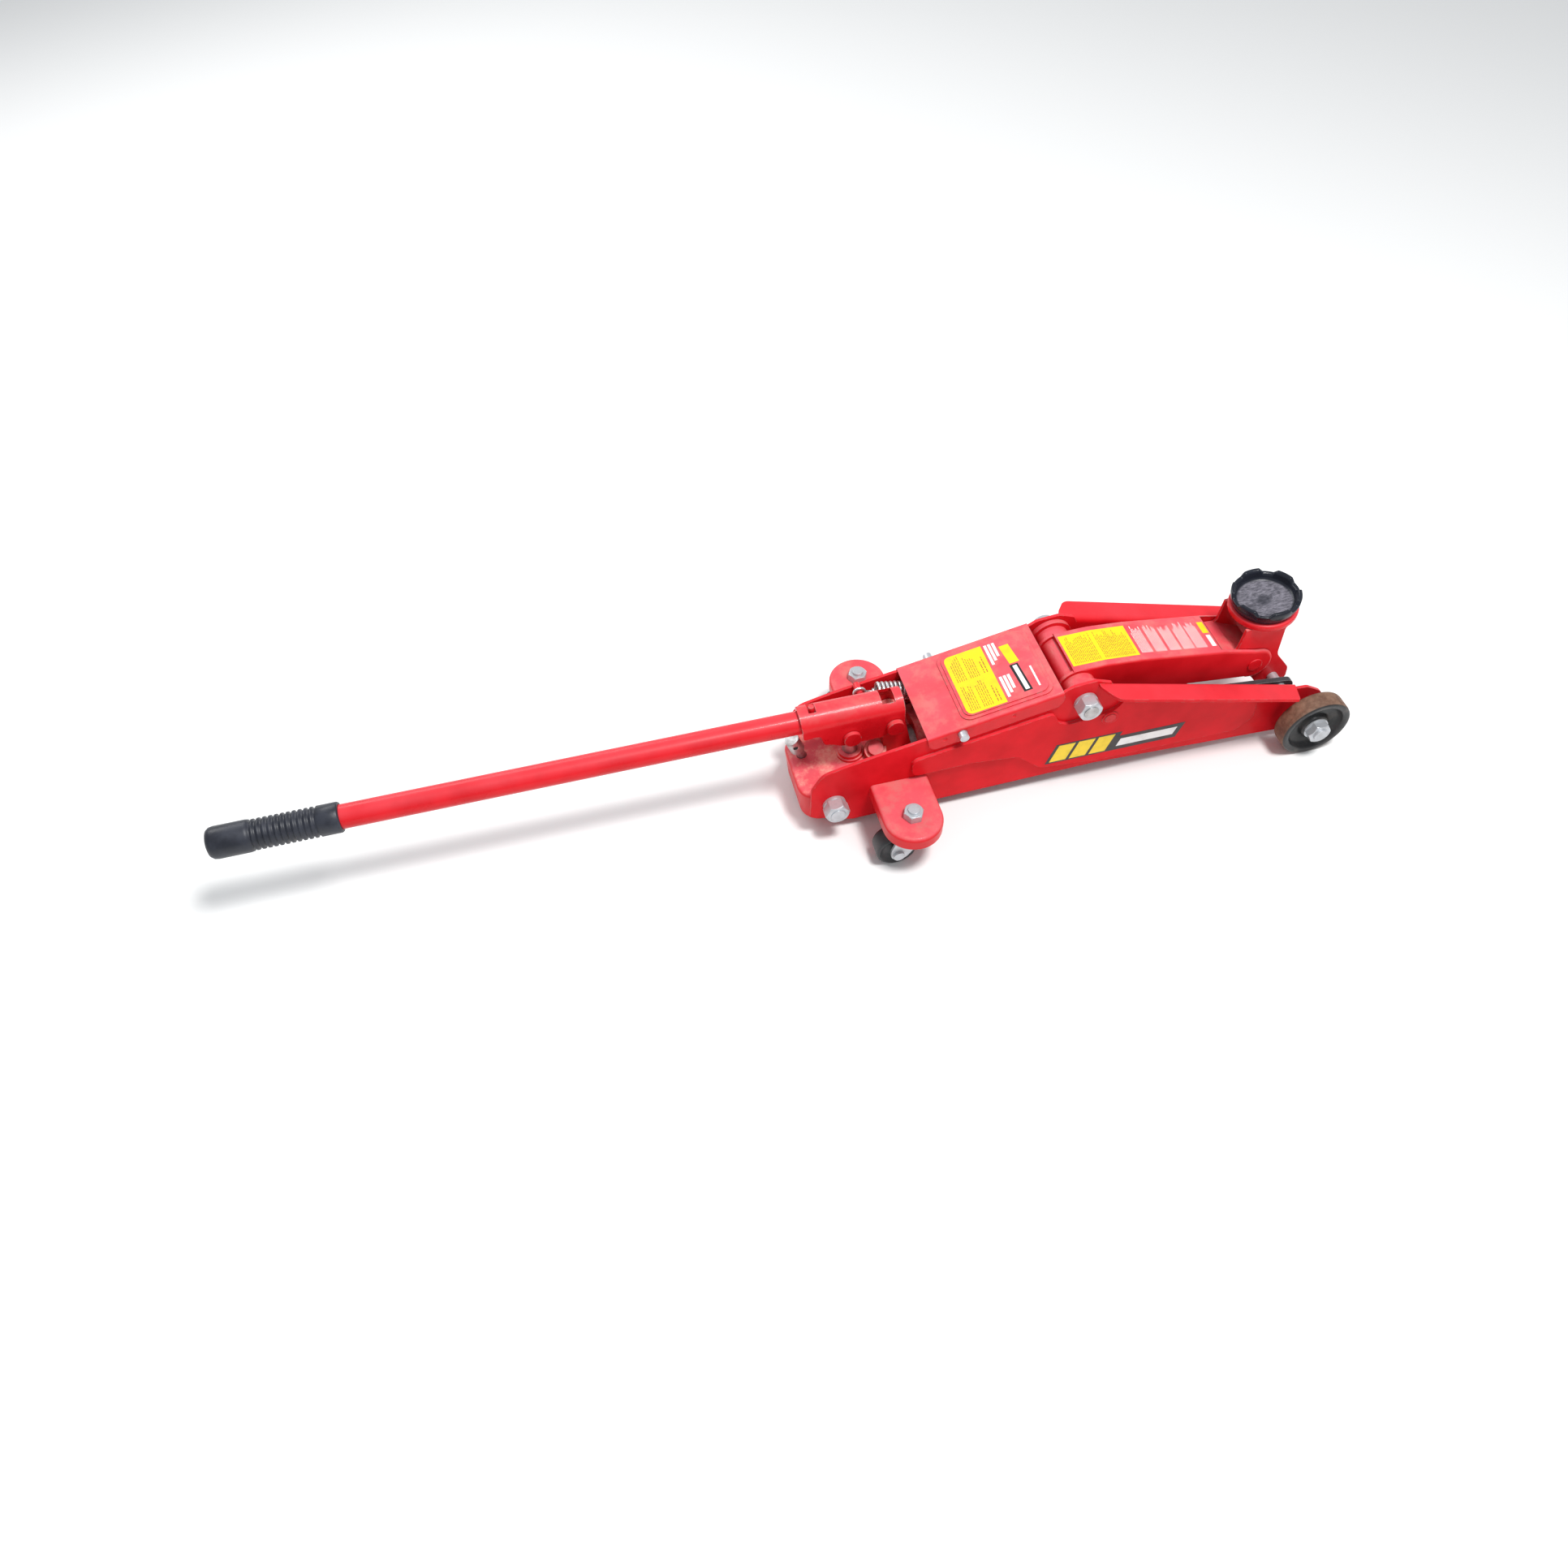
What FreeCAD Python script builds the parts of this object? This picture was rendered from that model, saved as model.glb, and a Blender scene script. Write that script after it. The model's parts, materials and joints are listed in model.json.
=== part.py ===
"""Hydraulic trolley jack, two-tonne class, with a long pump handle.

Sizes are in millimetres. X runs forward to the saddle, Y to the jack's left, Z up; the right side is the
negative Y side. The chassis and everything on it are drawn on the chassis's own base line, with x = 0 at
the rear tie bolt. That line stands nose-up by LEAN on the wheels, so to_ground() turns these pieces about
the foot of the rear casters. The casters and front wheels are drawn level, from the same foot. save() then
moves the whole jack along X, so that the origin lies under the middle of its overall box.
"""

import FreeCAD, Part
import math
import os

V = FreeCAD.Vector
EDGE = 1e-6

# ---------------------------------------------------------------- driving dimensions
# chassis
PLATE = 2.7                      # side plate thickness
INSIDE = 36.9                    # half width between the plates
BOSS = 3.0                       # height of the pressed panel in a side plate
FLANGE = 18.2                    # width of the flange beside the lift arm
FLANGE_START = (221.2, 100.5)    # top of the flange, x and z at its rear and front ends
FLANGE_END = (403.6, 28.8)
LEAN = 5.7                       # degrees, nose up
FOOT = 38.0                      # the casters' ground contact, about which the chassis leans
TIE = (0.0, 39.5)                # rear tie bolt, x and z
PIVOT = (211.1, 83.1)            # main shaft, x and z
BOLT = 6.0                       # M12 threads of the tie bolt and the main shaft
NUT_FLATS = 18.0
NUT = 9.9                        # nut height
SPRING_WASHER = 2.7
BOLT_END = 53.0                  # half length of the tie bolt and the main shaft

# outline of the pressed panel in a side plate: x, z, corner radius
PANEL = [(66, 50, 7), (114, 47, 22), (156, 38, 10), (176, 15, 12), (228, 4, 45), (354, -8, 12), (368.6, 3, 9),
         (368.6, 35, 9), (251, 82, 10), (237, 64, 13), (190, 62, 15), (185, 80.6, 6), (66, 68.4, 7)]

# top cover
COVER_REAR = (79.8, 89.4)        # upper edge of the cover, rear and front
COVER_FRONT = (192.0, 101.7)
COVER = 1.5                      # sheet thickness
COVER_FLANGE = 14.4
COVER_PANEL = (31.5, 107.8)      # raised panel, from the cover's rear edge
COVER_PANEL_HALF = 36.3
COVER_STEP = 0.9                 # height of each of the panel's two steps
COVER_STEP_IN = 3.0              # how far the second step stands in from the first
COVER_PIN = (28.1, -6.1)         # pin from the cover's rear upper edge, along and up
COVER_DIMPLES = (13.5, 71.0)     # locating dimples in the cover's flanges, from its rear edge
DIMPLE = 3.4                     # radius of the ball that presses them, and how far out its centre stands
DIMPLE_OUT = 2.6
PIN_NOTCH = 4.0

# lift arm
ARM_PIN = (370.9, 48.3)          # saddle bracket pin, x and z
ARM_HALF = 22.8
ARM_SHEET = 2.7
ARM_NOSE = 15.6                  # radius of the arm's ends at the saddle pin
BRACKET_PIN = 6.1
# top of the arm's web: distance from the main shaft and height over the line to the saddle pin
ARM_WEB = ((-7.4, 17.2), (21.3, 21.3), (53.2, 22.4), (127.7, 19.8))
TUBE = 14.8                      # arm pivot tube radius
SHAFT = 7.6
FIT = 0.05                       # radial clearance of pins and shafts
GAP = 0.4                        # clearance between pieces that pass each other
LUG_RADIUS = 47.1                # ram pin from the main shaft
LUG_ANGLE = 32.0                 # ram pin either side of its lowest point over the lift, degrees
RAM_PIN = 4.6
RAM_Z = 39.5

# saddle bracket and saddle
BRACKET_HALF = 19.6
SADDLE_X = 380.5
SADDLE_TOP = 108.7
SADDLE_RIM = 27.5
SADDLE_STEM = 5.3
SADDLE_NOTCHES = 6
COLLAR_Z = (89.7, 95.8)
CIRCLIP = (70.3, 71.4)           # circlip groove in the saddle's stem, z
CIRCLIP_GROOVE = 4.2
SLEEVE_END = 73.0                # lower end of the collar's sleeve
CUP_FLARE = 7.6                  # height over which the cup widens to its rim
ROD_OFFSET = (22.4, -25.8)       # radius rod pins from the main shaft and from the saddle bracket pin
ROD_Y = (28.9, 33.4)             # inner and outer face of a radius rod
ROD_PIN = 4.6
ROD_EYE = 7.6
ROD_BOSS = 7.0                   # low boss round a rod's rear pin

# hydraulic unit
BLOCK_X = (-25.1, 91.2)
BLOCK_HALF = 35.7
BLOCK_Z = (18.2, 48.6)
SOCKET_PIN = (61.6, 83.4)        # handle socket pivot, x and z
PUMP_PIN = (25.8, 83.1)
RESERVOIR = 21.7
CYLINDER = 15.1                  # ram cylinder, outer radius and bore
CYLINDER_BORE = 10.6
RAM_ROD = 7.6
GLAND_RING = 6.1                 # length of the ring nut at the cylinder's end
RAM_HEAD = (9.9, 9.1)            # ram head behind and ahead of the ram pin
PISTON_X = (79.0, 94.2)
SEAL_X = (84.4, 87.4)
SEAL_DEPTH = 2.2
PLUNGER = 6.1
PLUNGER_TOP = 74.5
GLAND = 8.4                      # plunger gland, radius, and the height of its seat
GLAND_SEAT = 50.9
PLUG_FACE = V(44.8, -12.2, 60.8)     # middle of the filler plug's face, and its axis
PLUG_AXIS = V(0.0, -0.47, 0.88)
PLUG = 6.2                           # radii of the plug and the release screw
VALVE = 3.8
VALVE_FOOT = V(-10.3, 10.6, 38.0)    # foot of the release screw, and its axis
VALVE_AXIS = V(-0.26, 0.0, 0.9656)
CYLINDER_END = 171.8

# handle
HANDLE_SLOPE = 5.3               # degrees
HANDLE_MOUTH = (-12.3, 102.1)    # handle axis where it enters the socket
HANDLE = 9.5
HANDLE_END_X = -461.3
GRIP_LENGTH = 96.5
RIBS = 11
RIB = 11.9                       # radius of the ribs and of the front collar
SOCKET_HALF = 12.9
SOCKET_SHEET = 2.7
SOCKET_BORE = 10.3
SMALL_PIN = 3.8                  # socket pivot pin and pump pin
PIN_HEAD = 7.2
LOCK_X = -1.5                    # lock pin on the handle
LOCK_PIN = 2.3
LOCK_SLOT = 3.0                  # half width of its slot
LOCK_TURN = (-16, 40)            # ends of the slot round the handle, degrees

# running gear, drawn level
WHEEL = 30.2
AXLE = (416.3, 30.2)             # front axle, x and z
WHEEL_Y = (48.6, 65.1)
WHEEL_DISH = 2.4                 # the hub stands this far inside the outer face
HUB_WASHER = 10.6
HUB_NUT_Y = WHEEL_Y[1] - 0.9
HUB_NUT = 6.8
AXLE_END = 72.7
SPACER = 9.1                     # spacer and head of a stub axle, radius
CASTER = (50.2, 77.4)            # kingpin, x and y
CASTER_PLATE_Z = 48.6
CASTER_WHEEL = 16.7
CASTER_TRAIL = 13.7
CASTER_ROUND = 24.3              # radius of the bracket round the kingpin
CASTER_DISH = 11.8               # depth of the bracket's rim
KINGPIN = 4.6
CASTER_AXLE = 3.0
FORK_Y = (9.5, 11.8)             # fork legs either side of the caster wheel

# return spring
SPRING_Y = 27.3
SPRING_ANCHOR = (44.1, 86.5)
ANCHOR = 3.0
COIL = (8.4, 5.3)                # outer and inner radius of the coils
COIL_ENDS = (10.6, 73.0)         # from the anchor
WIRE = 1.4                       # radius of the wire
COIL_CAP = 1.6

REACH = 150.0                    # tools that cut right through reach this far

# ---------------------------------------------------------------- shapes
def box(x0, x1, y0, y1, z0, z1):
    return Part.makeBox(x1 - x0, y1 - y0, z1 - z0, V(x0, y0, z0))


def rod(start, end, radius):
    """Round bar from one point to another."""
    axis = V(*end) - V(*start)
    return Part.makeCylinder(radius, axis.Length, V(*start), axis)


def across(place, radius, y0, y1):
    """Round bar along Y at (x, z)."""
    return rod((place[0], y0, place[1]), (place[0], y1, place[1]), radius)


def hole(place, radius):
    """Bore along Y right through the jack at (x, z)."""
    return across(place, radius, -REACH, REACH)


def upright(x, y, radius, z0, z1):
    return rod((x, y, z0), (x, y, z1), radius)


def both(shape):
    """The piece and its mirror image on the other side of the jack."""
    return Part.makeCompound([shape, mirrored(shape)])


def mirrored(shape):
    return shape.mirror(V(0, 0, 0), V(0, 1, 0))


def fuse(first, *others):
    return first.fuse(list(others)).removeSplitter()


def cut(shape, *tools):
    return shape.cut(list(tools))


def rounded_face(corners, lift):
    """Flat face through (a, b, corner radius) points; lift makes a 3-D point of (a, b)."""
    bends = []
    for i, (bx, by, radius) in enumerate(corners):
        ax, ay = corners[i - 1][:2]
        cx, cy = corners[(i + 1) % len(corners)][:2]
        back = V(ax - bx, ay - by, 0).normalize()
        ahead = V(cx - bx, cy - by, 0).normalize()
        corner = V(bx, by, 0)
        if radius == 0:
            bends.append((corner, None, corner))
            continue
        half = back.getAngle(ahead) / 2
        reach = radius / math.tan(half)
        middle = (back + ahead).normalize() * (radius / math.sin(half) - radius)
        bends.append((corner + back * reach, corner + middle, corner + ahead * reach))
    edges = []
    for i, (start, middle, end) in enumerate(bends):
        following = bends[(i + 1) % len(bends)][0]
        if middle:
            points = [lift(p.x, p.y) for p in (start, middle, end)]
            edges.append(Part.Arc(*points).toShape())
        if end.distanceToPoint(following) > EDGE * 100:
            edges.append(Part.LineSegment(lift(end.x, end.y), lift(following.x, following.y)).toShape())
    return Part.Face(Part.Wire(edges))


def side_view(corners, y0, y1):
    """Prism along Y from an outline of (x, z, radius)."""
    return rounded_face(corners, lambda a, b: V(a, y0, b)).extrude(V(0, y1 - y0, 0))


def plan_view(corners, z0, z1):
    """Prism along Z from an outline of (x, y, radius)."""
    return rounded_face(corners, lambda a, b: V(a, b, z0)).extrude(V(0, 0, z1 - z0))


def end_view(corners, x0, x1):
    """Prism along X from an outline of (y, z, radius)."""
    return rounded_face(corners, lambda a, b: V(x0, a, b)).extrude(V(x1 - x0, 0, 0))


def link(start, end, r_start, r_end, y0, y1):
    """Flat link along Y: two round ends and their outer tangents."""
    along = V(end[0] - start[0], end[1] - start[1], 0)
    lean = math.acos((r_start - r_end) / along.Length)
    heading = math.atan2(along.y, along.x)
    sides = []
    for place, radius in ((start, r_start), (end, r_end)):
        for turn in (lean, -lean):
            angle = heading + turn
            sides.append((place[0] + radius * math.cos(angle), place[1] + radius * math.sin(angle), 0))
    web = side_view([sides[0], sides[1], sides[3], sides[2]], y0, y1)
    return fuse(web, across(start, r_start, y0, y1), across(end, r_end, y0, y1))


def hexagon(flats, height):
    """Nut blank standing on Z with its corners turned off."""
    radius = flats / math.sqrt(3)
    corners = [math.radians(60 * i) for i in range(7)]
    points = [V(radius * math.cos(a), radius * math.sin(a), 0) for a in corners]
    blank = Part.Face(Part.makePolygon(points)).extrude(V(0, 0, height))
    slope = (radius - flats / 2) * 0.6
    cone = Part.makeCone(radius + height - slope, flats / 2, height + radius - flats / 2 - slope,
                         V(0, 0, slope - radius + flats / 2))
    return blank.common(cone)


def nut(place, flats, height, bore, y0):
    """Nut on a shaft along Y; its flat side meets y0 and its turned side faces outwards."""
    piece = cut(hexagon(flats, height), upright(0, 0, bore, -1, height + 1))
    piece.rotate(V(0, 0, 0), V(1, 0, 0), 90 if y0 < 0 else -90)
    piece.translate(V(place[0], y0, place[1]))
    return piece


def washer(place, outer, inner, y0, y1):
    return cut(across(place, outer, y0, y1), hole(place, inner))


def along_ram(x0, x1, radius):
    """Round bar on the ram's axis."""
    return rod((x0, 0, RAM_Z), (x1, 0, RAM_Z), radius)


# ---------------------------------------------------------------- positions worked out from the above
ARM_ANGLE = math.degrees(math.atan2(ARM_PIN[1] - PIVOT[1], ARM_PIN[0] - PIVOT[0]))
ARM_LENGTH = math.hypot(ARM_PIN[0] - PIVOT[0], ARM_PIN[1] - PIVOT[1])
LUG_PIN = (PIVOT[0] - LUG_RADIUS * math.sin(math.radians(LUG_ANGLE)),
           PIVOT[1] - LUG_RADIUS * math.cos(math.radians(LUG_ANGLE)))
LUG_RISE = LUG_RADIUS * (1 - math.cos(math.radians(LUG_ANGLE)))
ROD_FRAME = (PIVOT[0] + ROD_OFFSET[0], PIVOT[1] + ROD_OFFSET[1])
ROD_FRONT = (ARM_PIN[0] + ROD_OFFSET[0], ARM_PIN[1] + ROD_OFFSET[1])
OUTSIDE = INSIDE + PLATE
ROD_BOSS_Y = OUTSIDE + BOSS + 0.8
SLOPE = math.tan(math.radians(HANDLE_SLOPE))
COVER_ANGLE = math.degrees(math.atan2(COVER_FRONT[1] - COVER_REAR[1], COVER_FRONT[0] - COVER_REAR[0]))


def handle_z(x):
    """Height of the handle's axis."""
    return HANDLE_MOUTH[1] + (HANDLE_MOUTH[0] - x) * SLOPE


def to_ground(x, z):
    """Place in the jack's level frame of a point on the leaning chassis."""
    lean = math.radians(LEAN)
    return (FOOT + (x - FOOT) * math.cos(lean) - z * math.sin(lean),
            (x - FOOT) * math.sin(lean) + z * math.cos(lean))


def to_chassis(x, z):
    """Place on the leaning chassis of a point in the jack's level frame."""
    lean = math.radians(LEAN)
    return (FOOT + (x - FOOT) * math.cos(lean) + z * math.sin(lean),
            z * math.cos(lean) - (x - FOOT) * math.sin(lean))


FRONT = to_chassis(*AXLE)
CASTER_AXLE_AT = (CASTER[0] - CASTER_TRAIL, CASTER_WHEEL)
TO_CENTRE = -(AXLE[0] + WHEEL + to_ground(HANDLE_END_X, handle_z(HANDLE_END_X))[0]) / 2


# ---------------------------------------------------------------- chassis
def side_plate():
    """Left side plate: blank, pressed panel, flange along the lift arm, and the wheel's spacer."""
    nose_x, nose_z = FRONT[0] + 15.2, FRONT[1]
    lower = [(-20.5, 28.9, 3), (12.9, 11.8, 12.2), (228, -3, 68.4), (nose_x - 30.4, nose_z - 21.3, 22.8),
             (nose_x, nose_z - 19.8, 18.2), (nose_x, nose_z + 16, 10.6)]
    upper = [(416.5, 20.5, 9.1), (402.8, 22.8, 3), (235.6, 88.9, 4.6), (232.6, 96.8, 3), (219.6, 103.4, 6.8),
             (199.9, 103.4, 10.6), (*under_cover(COVER_FRONT[0] + 1), 1), (*under_cover(COVER_REAR[0]), 2.3)]
    rear = [(25.8, 82.5, 22.8), (-6.1, 77.5, 15.2), (-16.7, 62.3, 12.2), (-20.5, 31.9, 1.5)]
    sheet = side_view(lower + upper + rear, INSIDE, OUTSIDE)
    raised = side_view(PANEL, INSIDE + 0.4, OUTSIDE + BOSS)
    inner = rounded_face(PANEL, lambda x, z: V(x, INSIDE - 1, z)).makeOffset2D(-PLATE)
    hollow = inner.extrude(V(0, BOSS + 1, 0))
    rod_boss = across(ROD_FRAME, ROD_BOSS, OUTSIDE, ROD_BOSS_Y)
    spacer = across(FRONT, SPACER, OUTSIDE, WHEEL_Y[0] - GAP)
    plate = fuse(sheet, raised, flange()).cut(hollow).fuse([rod_boss, spacer])
    return cut(plate, hole(TIE, BOLT + GAP), hole(PIVOT, SHAFT), hole(ROD_FRAME, ROD_PIN), hole(FRONT, BOLT))


def under_cover(x):
    """Place of the side plate's edge just below the cover's sheet."""
    return x, COVER_REAR[1] + (x - COVER_REAR[0]) * math.tan(math.radians(COVER_ANGLE)) - COVER - 0.15


def flange():
    """Outward flange along the upper edge of the left side plate, with its round bend."""
    x0, z0 = FLANGE_START
    x1, z1 = FLANGE_END
    angle = math.degrees(math.atan2(z1 - z0, x1 - x0))
    edge = OUTSIDE + FLANGE
    profile = [(INSIDE, -12.9, 0), (INSIDE, 0, PLATE + 2.3), (edge, 0, 0), (edge, -PLATE, 0),
               (OUTSIDE, -PLATE, 2.3), (OUTSIDE, -12.9, 0)]
    strip = end_view(profile, -15.2, math.hypot(x1 - x0, z1 - z0) + 15.2)
    strip.rotate(V(0, 0, 0), V(0, -1, 0), angle)
    strip.translate(V(x0, 0, z0))
    ends = plan_view([(x0, INSIDE - 1, 0), (x0, OUTSIDE + 4.6, 6.1), (x0 + 9.9, edge, 10.6),
                      (x1 - 6.1, edge, 3), (x1, INSIDE - 1, 0)], 0, REACH)
    return strip.common(ends)


def top_cover():
    """Sheet cover over the hydraulic unit, drawn level from its rear edge and then tilted."""
    length = math.hypot(COVER_FRONT[0] - COVER_REAR[0], COVER_FRONT[1] - COVER_REAR[1])
    half = OUTSIDE + 0.1 + COVER
    slim = half - COVER
    outer = end_view([(-half, -COVER_FLANGE, 0), (half, -COVER_FLANGE, 0), (half, 0, 3), (-half, 0, 3)],
                     0, length)
    inner = end_view([(-slim, -REACH, 0), (slim, -REACH, 0), (slim, -COVER, 0.4), (-slim, -COVER, 0.4)],
                     -1, length + 1)
    ends = side_view([(0, -COVER_FLANGE, 6.8), (length, -COVER_FLANGE, 9.1), (length, 6.8, 0), (0, 6.8, 0)],
                     -REACH, REACH)
    shell = outer.cut(inner).common(ends)
    for step in range(2):
        margin, top = COVER_STEP_IN * step, COVER_STEP * (step + 1)
        shell = fuse(shell, cover_panel(margin, -COVER / 2, top))
        shell = shell.cut(cover_panel(margin + COVER, -2 * COVER, top - COVER))
    for x in COVER_DIMPLES:
        for y in (-half - DIMPLE_OUT, half + DIMPLE_OUT):
            shell = shell.cut(Part.makeSphere(DIMPLE, V(x, y, COVER_PIN[1])))
    notches = hole(COVER_PIN, PIN_NOTCH).cut(box(0, length, 1 - OUTSIDE, OUTSIDE - 1, -REACH, REACH))
    shell = shell.cut(notches)
    shell.rotate(V(0, 0, 0), V(0, 1, 0), -COVER_ANGLE)
    shell.translate(V(COVER_REAR[0], 0, COVER_REAR[1]))
    return shell


def cover_panel(margin, z0, z1):
    """Rounded rectangle of the cover's raised panel, drawn in by a margin."""
    x0, x1, y1 = COVER_PANEL[0] + margin, COVER_PANEL[1] - margin, COVER_PANEL_HALF - margin
    corner = 8.5 - margin / 2
    return plan_view([(x0, -y1, corner), (x1, -y1, corner), (x1, y1, corner), (x0, y1, corner)], z0, z1)


def cover_pin_place():
    tilt = math.radians(COVER_ANGLE)
    along, up = COVER_PIN
    return (COVER_REAR[0] + along * math.cos(tilt) - up * math.sin(tilt),
            COVER_REAR[1] + along * math.sin(tilt) + up * math.cos(tilt))


def cover_pin():
    """Stub pin welded to the plate, over which the cover's notch drops."""
    return across(cover_pin_place(), PIN_NOTCH - 0.2, OUTSIDE, OUTSIDE + 7.1)


def front_tie_plate():
    """Flat plate that joins the side plates under the lift arm."""
    return box(302.5, 337.4, -INSIDE, INSIDE, -6.1, -3)


def main_shaft():
    middle = across(PIVOT, SHAFT, -OUTSIDE, OUTSIDE)
    return fuse(middle, across(PIVOT, BOLT, -BOLT_END, BOLT_END))


def rear_tie_bolt():
    return across(TIE, BOLT, -BOLT_END, BOLT_END)


def shaft_nut(place):
    y = OUTSIDE + SPRING_WASHER
    return nut(place, NUT_FLATS, NUT, BOLT, y)


def shaft_washer(place):
    return washer(place, NUT_FLATS / 2 + 0.6, BOLT, OUTSIDE, OUTSIDE + SPRING_WASHER)


def stub_axle():
    """Wheel axle with a head inside the side plate."""
    head_y = INSIDE - 4.6
    return fuse(across(AXLE, SPACER, head_y, INSIDE), across(AXLE, BOLT, head_y, AXLE_END))


def hub_washer():
    return washer(AXLE, HUB_WASHER, BOLT, WHEEL_Y[1] - WHEEL_DISH, HUB_NUT_Y)


def hub_nut():
    return nut(AXLE, NUT_FLATS, HUB_NUT, BOLT, HUB_NUT_Y)


def caster_bracket():
    """Left caster bracket: a dished plate welded to the side plate above the swivel caster."""
    x, y = CASTER
    dish = caster_outline(CASTER_ROUND, CASTER_PLATE_Z - CASTER_DISH, CASTER_PLATE_Z)
    rim = [e for e in dish.Edges if e.BoundBox.ZMin > CASTER_PLATE_Z - 1 and e.BoundBox.YMax > OUTSIDE + 1]
    dish = dish.makeFillet(3.4, rim)
    inside = caster_outline(CASTER_ROUND - PLATE, 0, CASTER_PLATE_Z - PLATE)
    return cut(dish, inside, upright(x, y, KINGPIN, 0, REACH))


def caster_outline(wide, z0, z1):
    """Plan of the bracket: straight sides from the side plate, and a half round about the kingpin."""
    x, y = CASTER
    corner = wide - 0.04
    return plan_view([(x - wide, OUTSIDE, 0), (x + wide, OUTSIDE, 0), (x + wide, y + wide, corner),
                      (x - wide, y + wide, corner)], z0, z1)


def caster_kingpin():
    """Bolt that holds the caster: head below the fork, thread through the bracket."""
    x, y = CASTER
    return fuse(upright(x, y, KINGPIN, 36.5, 57.8), upright(x, y, 6.8, 35.7, 39.7))


def caster_nut():
    piece = cut(hexagon(14.4, 7.1), upright(0, 0, KINGPIN, -REACH, REACH))
    piece.translate(V(CASTER[0], CASTER[1], CASTER_PLATE_Z))
    return piece


def rod_pivot_pin():
    """Pin for the rear end of a radius rod, welded into the side plate."""
    return across(ROD_FRAME, ROD_PIN, ROD_Y[0] - 0.5, ROD_BOSS_Y + 0.4)


def spring_anchor():
    return across(SPRING_ANCHOR, ANCHOR, SPRING_Y - 3, INSIDE)


# ---------------------------------------------------------------- hydraulic unit
def pump_block():
    """Cast block between the plates, with the socket lug and the cylinder's seat."""
    x0, x1 = BLOCK_X
    z0, z1 = BLOCK_Z
    body = plan_view([(x0, -BLOCK_HALF, 16.7), (x1, -BLOCK_HALF, 1.5), (x1, BLOCK_HALF, 1.5),
                      (x0, BLOCK_HALF, 16.7)], z0, z1)
    body = body.makeFillet(3.8, [e for e in body.Edges if e.BoundBox.ZMin > z1 - 1])
    seat = along_ram(x1 - 10.6, x1, 25.1)
    cheek = SOCKET_HALF - SOCKET_SHEET - GAP
    lug = side_view([(50.2, z1 - 3, 0), (76, z1 - 3, 0), (70.7, 85.9, 7.6), (60.8, 92.7, 7.6),
                     (53.2, 85.9, 7.6)], -cheek, cheek)
    collar = upright(PUMP_PIN[0], 0, 11.4, z1 - 3, GLAND_SEAT)
    foot = plan_view([(-15.2, -30.4, 3), (7.6, -30.4, 3), (7.6, 30.4, 3), (-15.2, 30.4, 3)], 15.2, 22.8)
    neck = rod(PLUG_FACE - PLUG_AXIS * 18.2, PLUG_FACE - PLUG_AXIS * 4.6, 9.1)
    plug_bore = rod(PLUG_FACE - PLUG_AXIS * 22.8, PLUG_FACE + PLUG_AXIS * 7.6, PLUG)
    valve_bore = rod(VALVE_FOOT, VALVE_FOOT + VALVE_AXIS * 22.8, VALVE + 0.3)
    block = fuse(body, seat, lug, collar, foot, neck)
    gland_bore = upright(PUMP_PIN[0], 0, GLAND, 31.2, 60)
    cylinder_bore = along_ram(x1 - 22.8, x1 + 7.6, CYLINDER + 0.1)
    return cut(block, hole(TIE, BOLT + GAP), hole(SOCKET_PIN, SMALL_PIN), gland_bore, plug_bore, valve_bore,
               cylinder_bore)


def pump_gland():
    """Screwed guide round the pump plunger, with its rim on the block's collar."""
    x = PUMP_PIN[0]
    outer = fuse(upright(x, 0, GLAND, 31.2, GLAND_SEAT), upright(x, 0, GLAND + 1.5, GLAND_SEAT, 54))
    return cut(outer, upright(x, 0, PLUNGER + FIT, 0, REACH))


def filler_plug():
    """Round oil filler plug in a leaning boss."""
    return rod(PLUG_FACE - PLUG_AXIS * 21.3, PLUG_FACE, PLUG)


def release_valve():
    """Release screw with a cross-drilled knuckle, leaning back under the handle."""
    screw = rod(VALVE_FOOT + VALVE_AXIS * 0.4, VALVE_FOOT + VALVE_AXIS * 25.8, VALVE)
    knuckle = rod(VALVE_FOOT + VALVE_AXIS * 20.5, VALVE_FOOT + VALVE_AXIS * 35, 6.1)
    drilled = VALVE_FOOT + VALVE_AXIS * 28.9
    return fuse(screw, knuckle).cut(hole((drilled.x, drilled.z), 2.0))


def reservoir_tube():
    x0, x1 = BLOCK_X[1], CYLINDER_END - GLAND_RING
    return along_ram(x0, x1, RESERVOIR).cut(along_ram(x0, x1, RESERVOIR - 1.9))


def ram_cylinder():
    x0, x1 = BLOCK_X[1] - 21.3, CYLINDER_END - GLAND_RING
    return along_ram(x0, x1, CYLINDER).cut(along_ram(x0 + 3.1, x1 + 1, CYLINDER_BORE))


def cylinder_gland():
    x0 = CYLINDER_END - GLAND_RING
    return along_ram(x0, CYLINDER_END, 19.8).cut(along_ram(x0, CYLINDER_END, RAM_ROD + FIT))


def ram_piston():
    """Piston and its rod."""
    piston = along_ram(*PISTON_X, CYLINDER_BORE - FIT)
    groove = along_ram(*SEAL_X, CYLINDER_BORE).cut(along_ram(*SEAL_X, CYLINDER_BORE - SEAL_DEPTH))
    return fuse(piston.cut(groove), along_ram(PISTON_X[1], LUG_PIN[0] - RAM_HEAD[0], RAM_ROD))


def piston_seal():
    return along_ram(*SEAL_X, CYLINDER_BORE - FIT).cut(along_ram(*SEAL_X, CYLINDER_BORE - SEAL_DEPTH))


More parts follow.
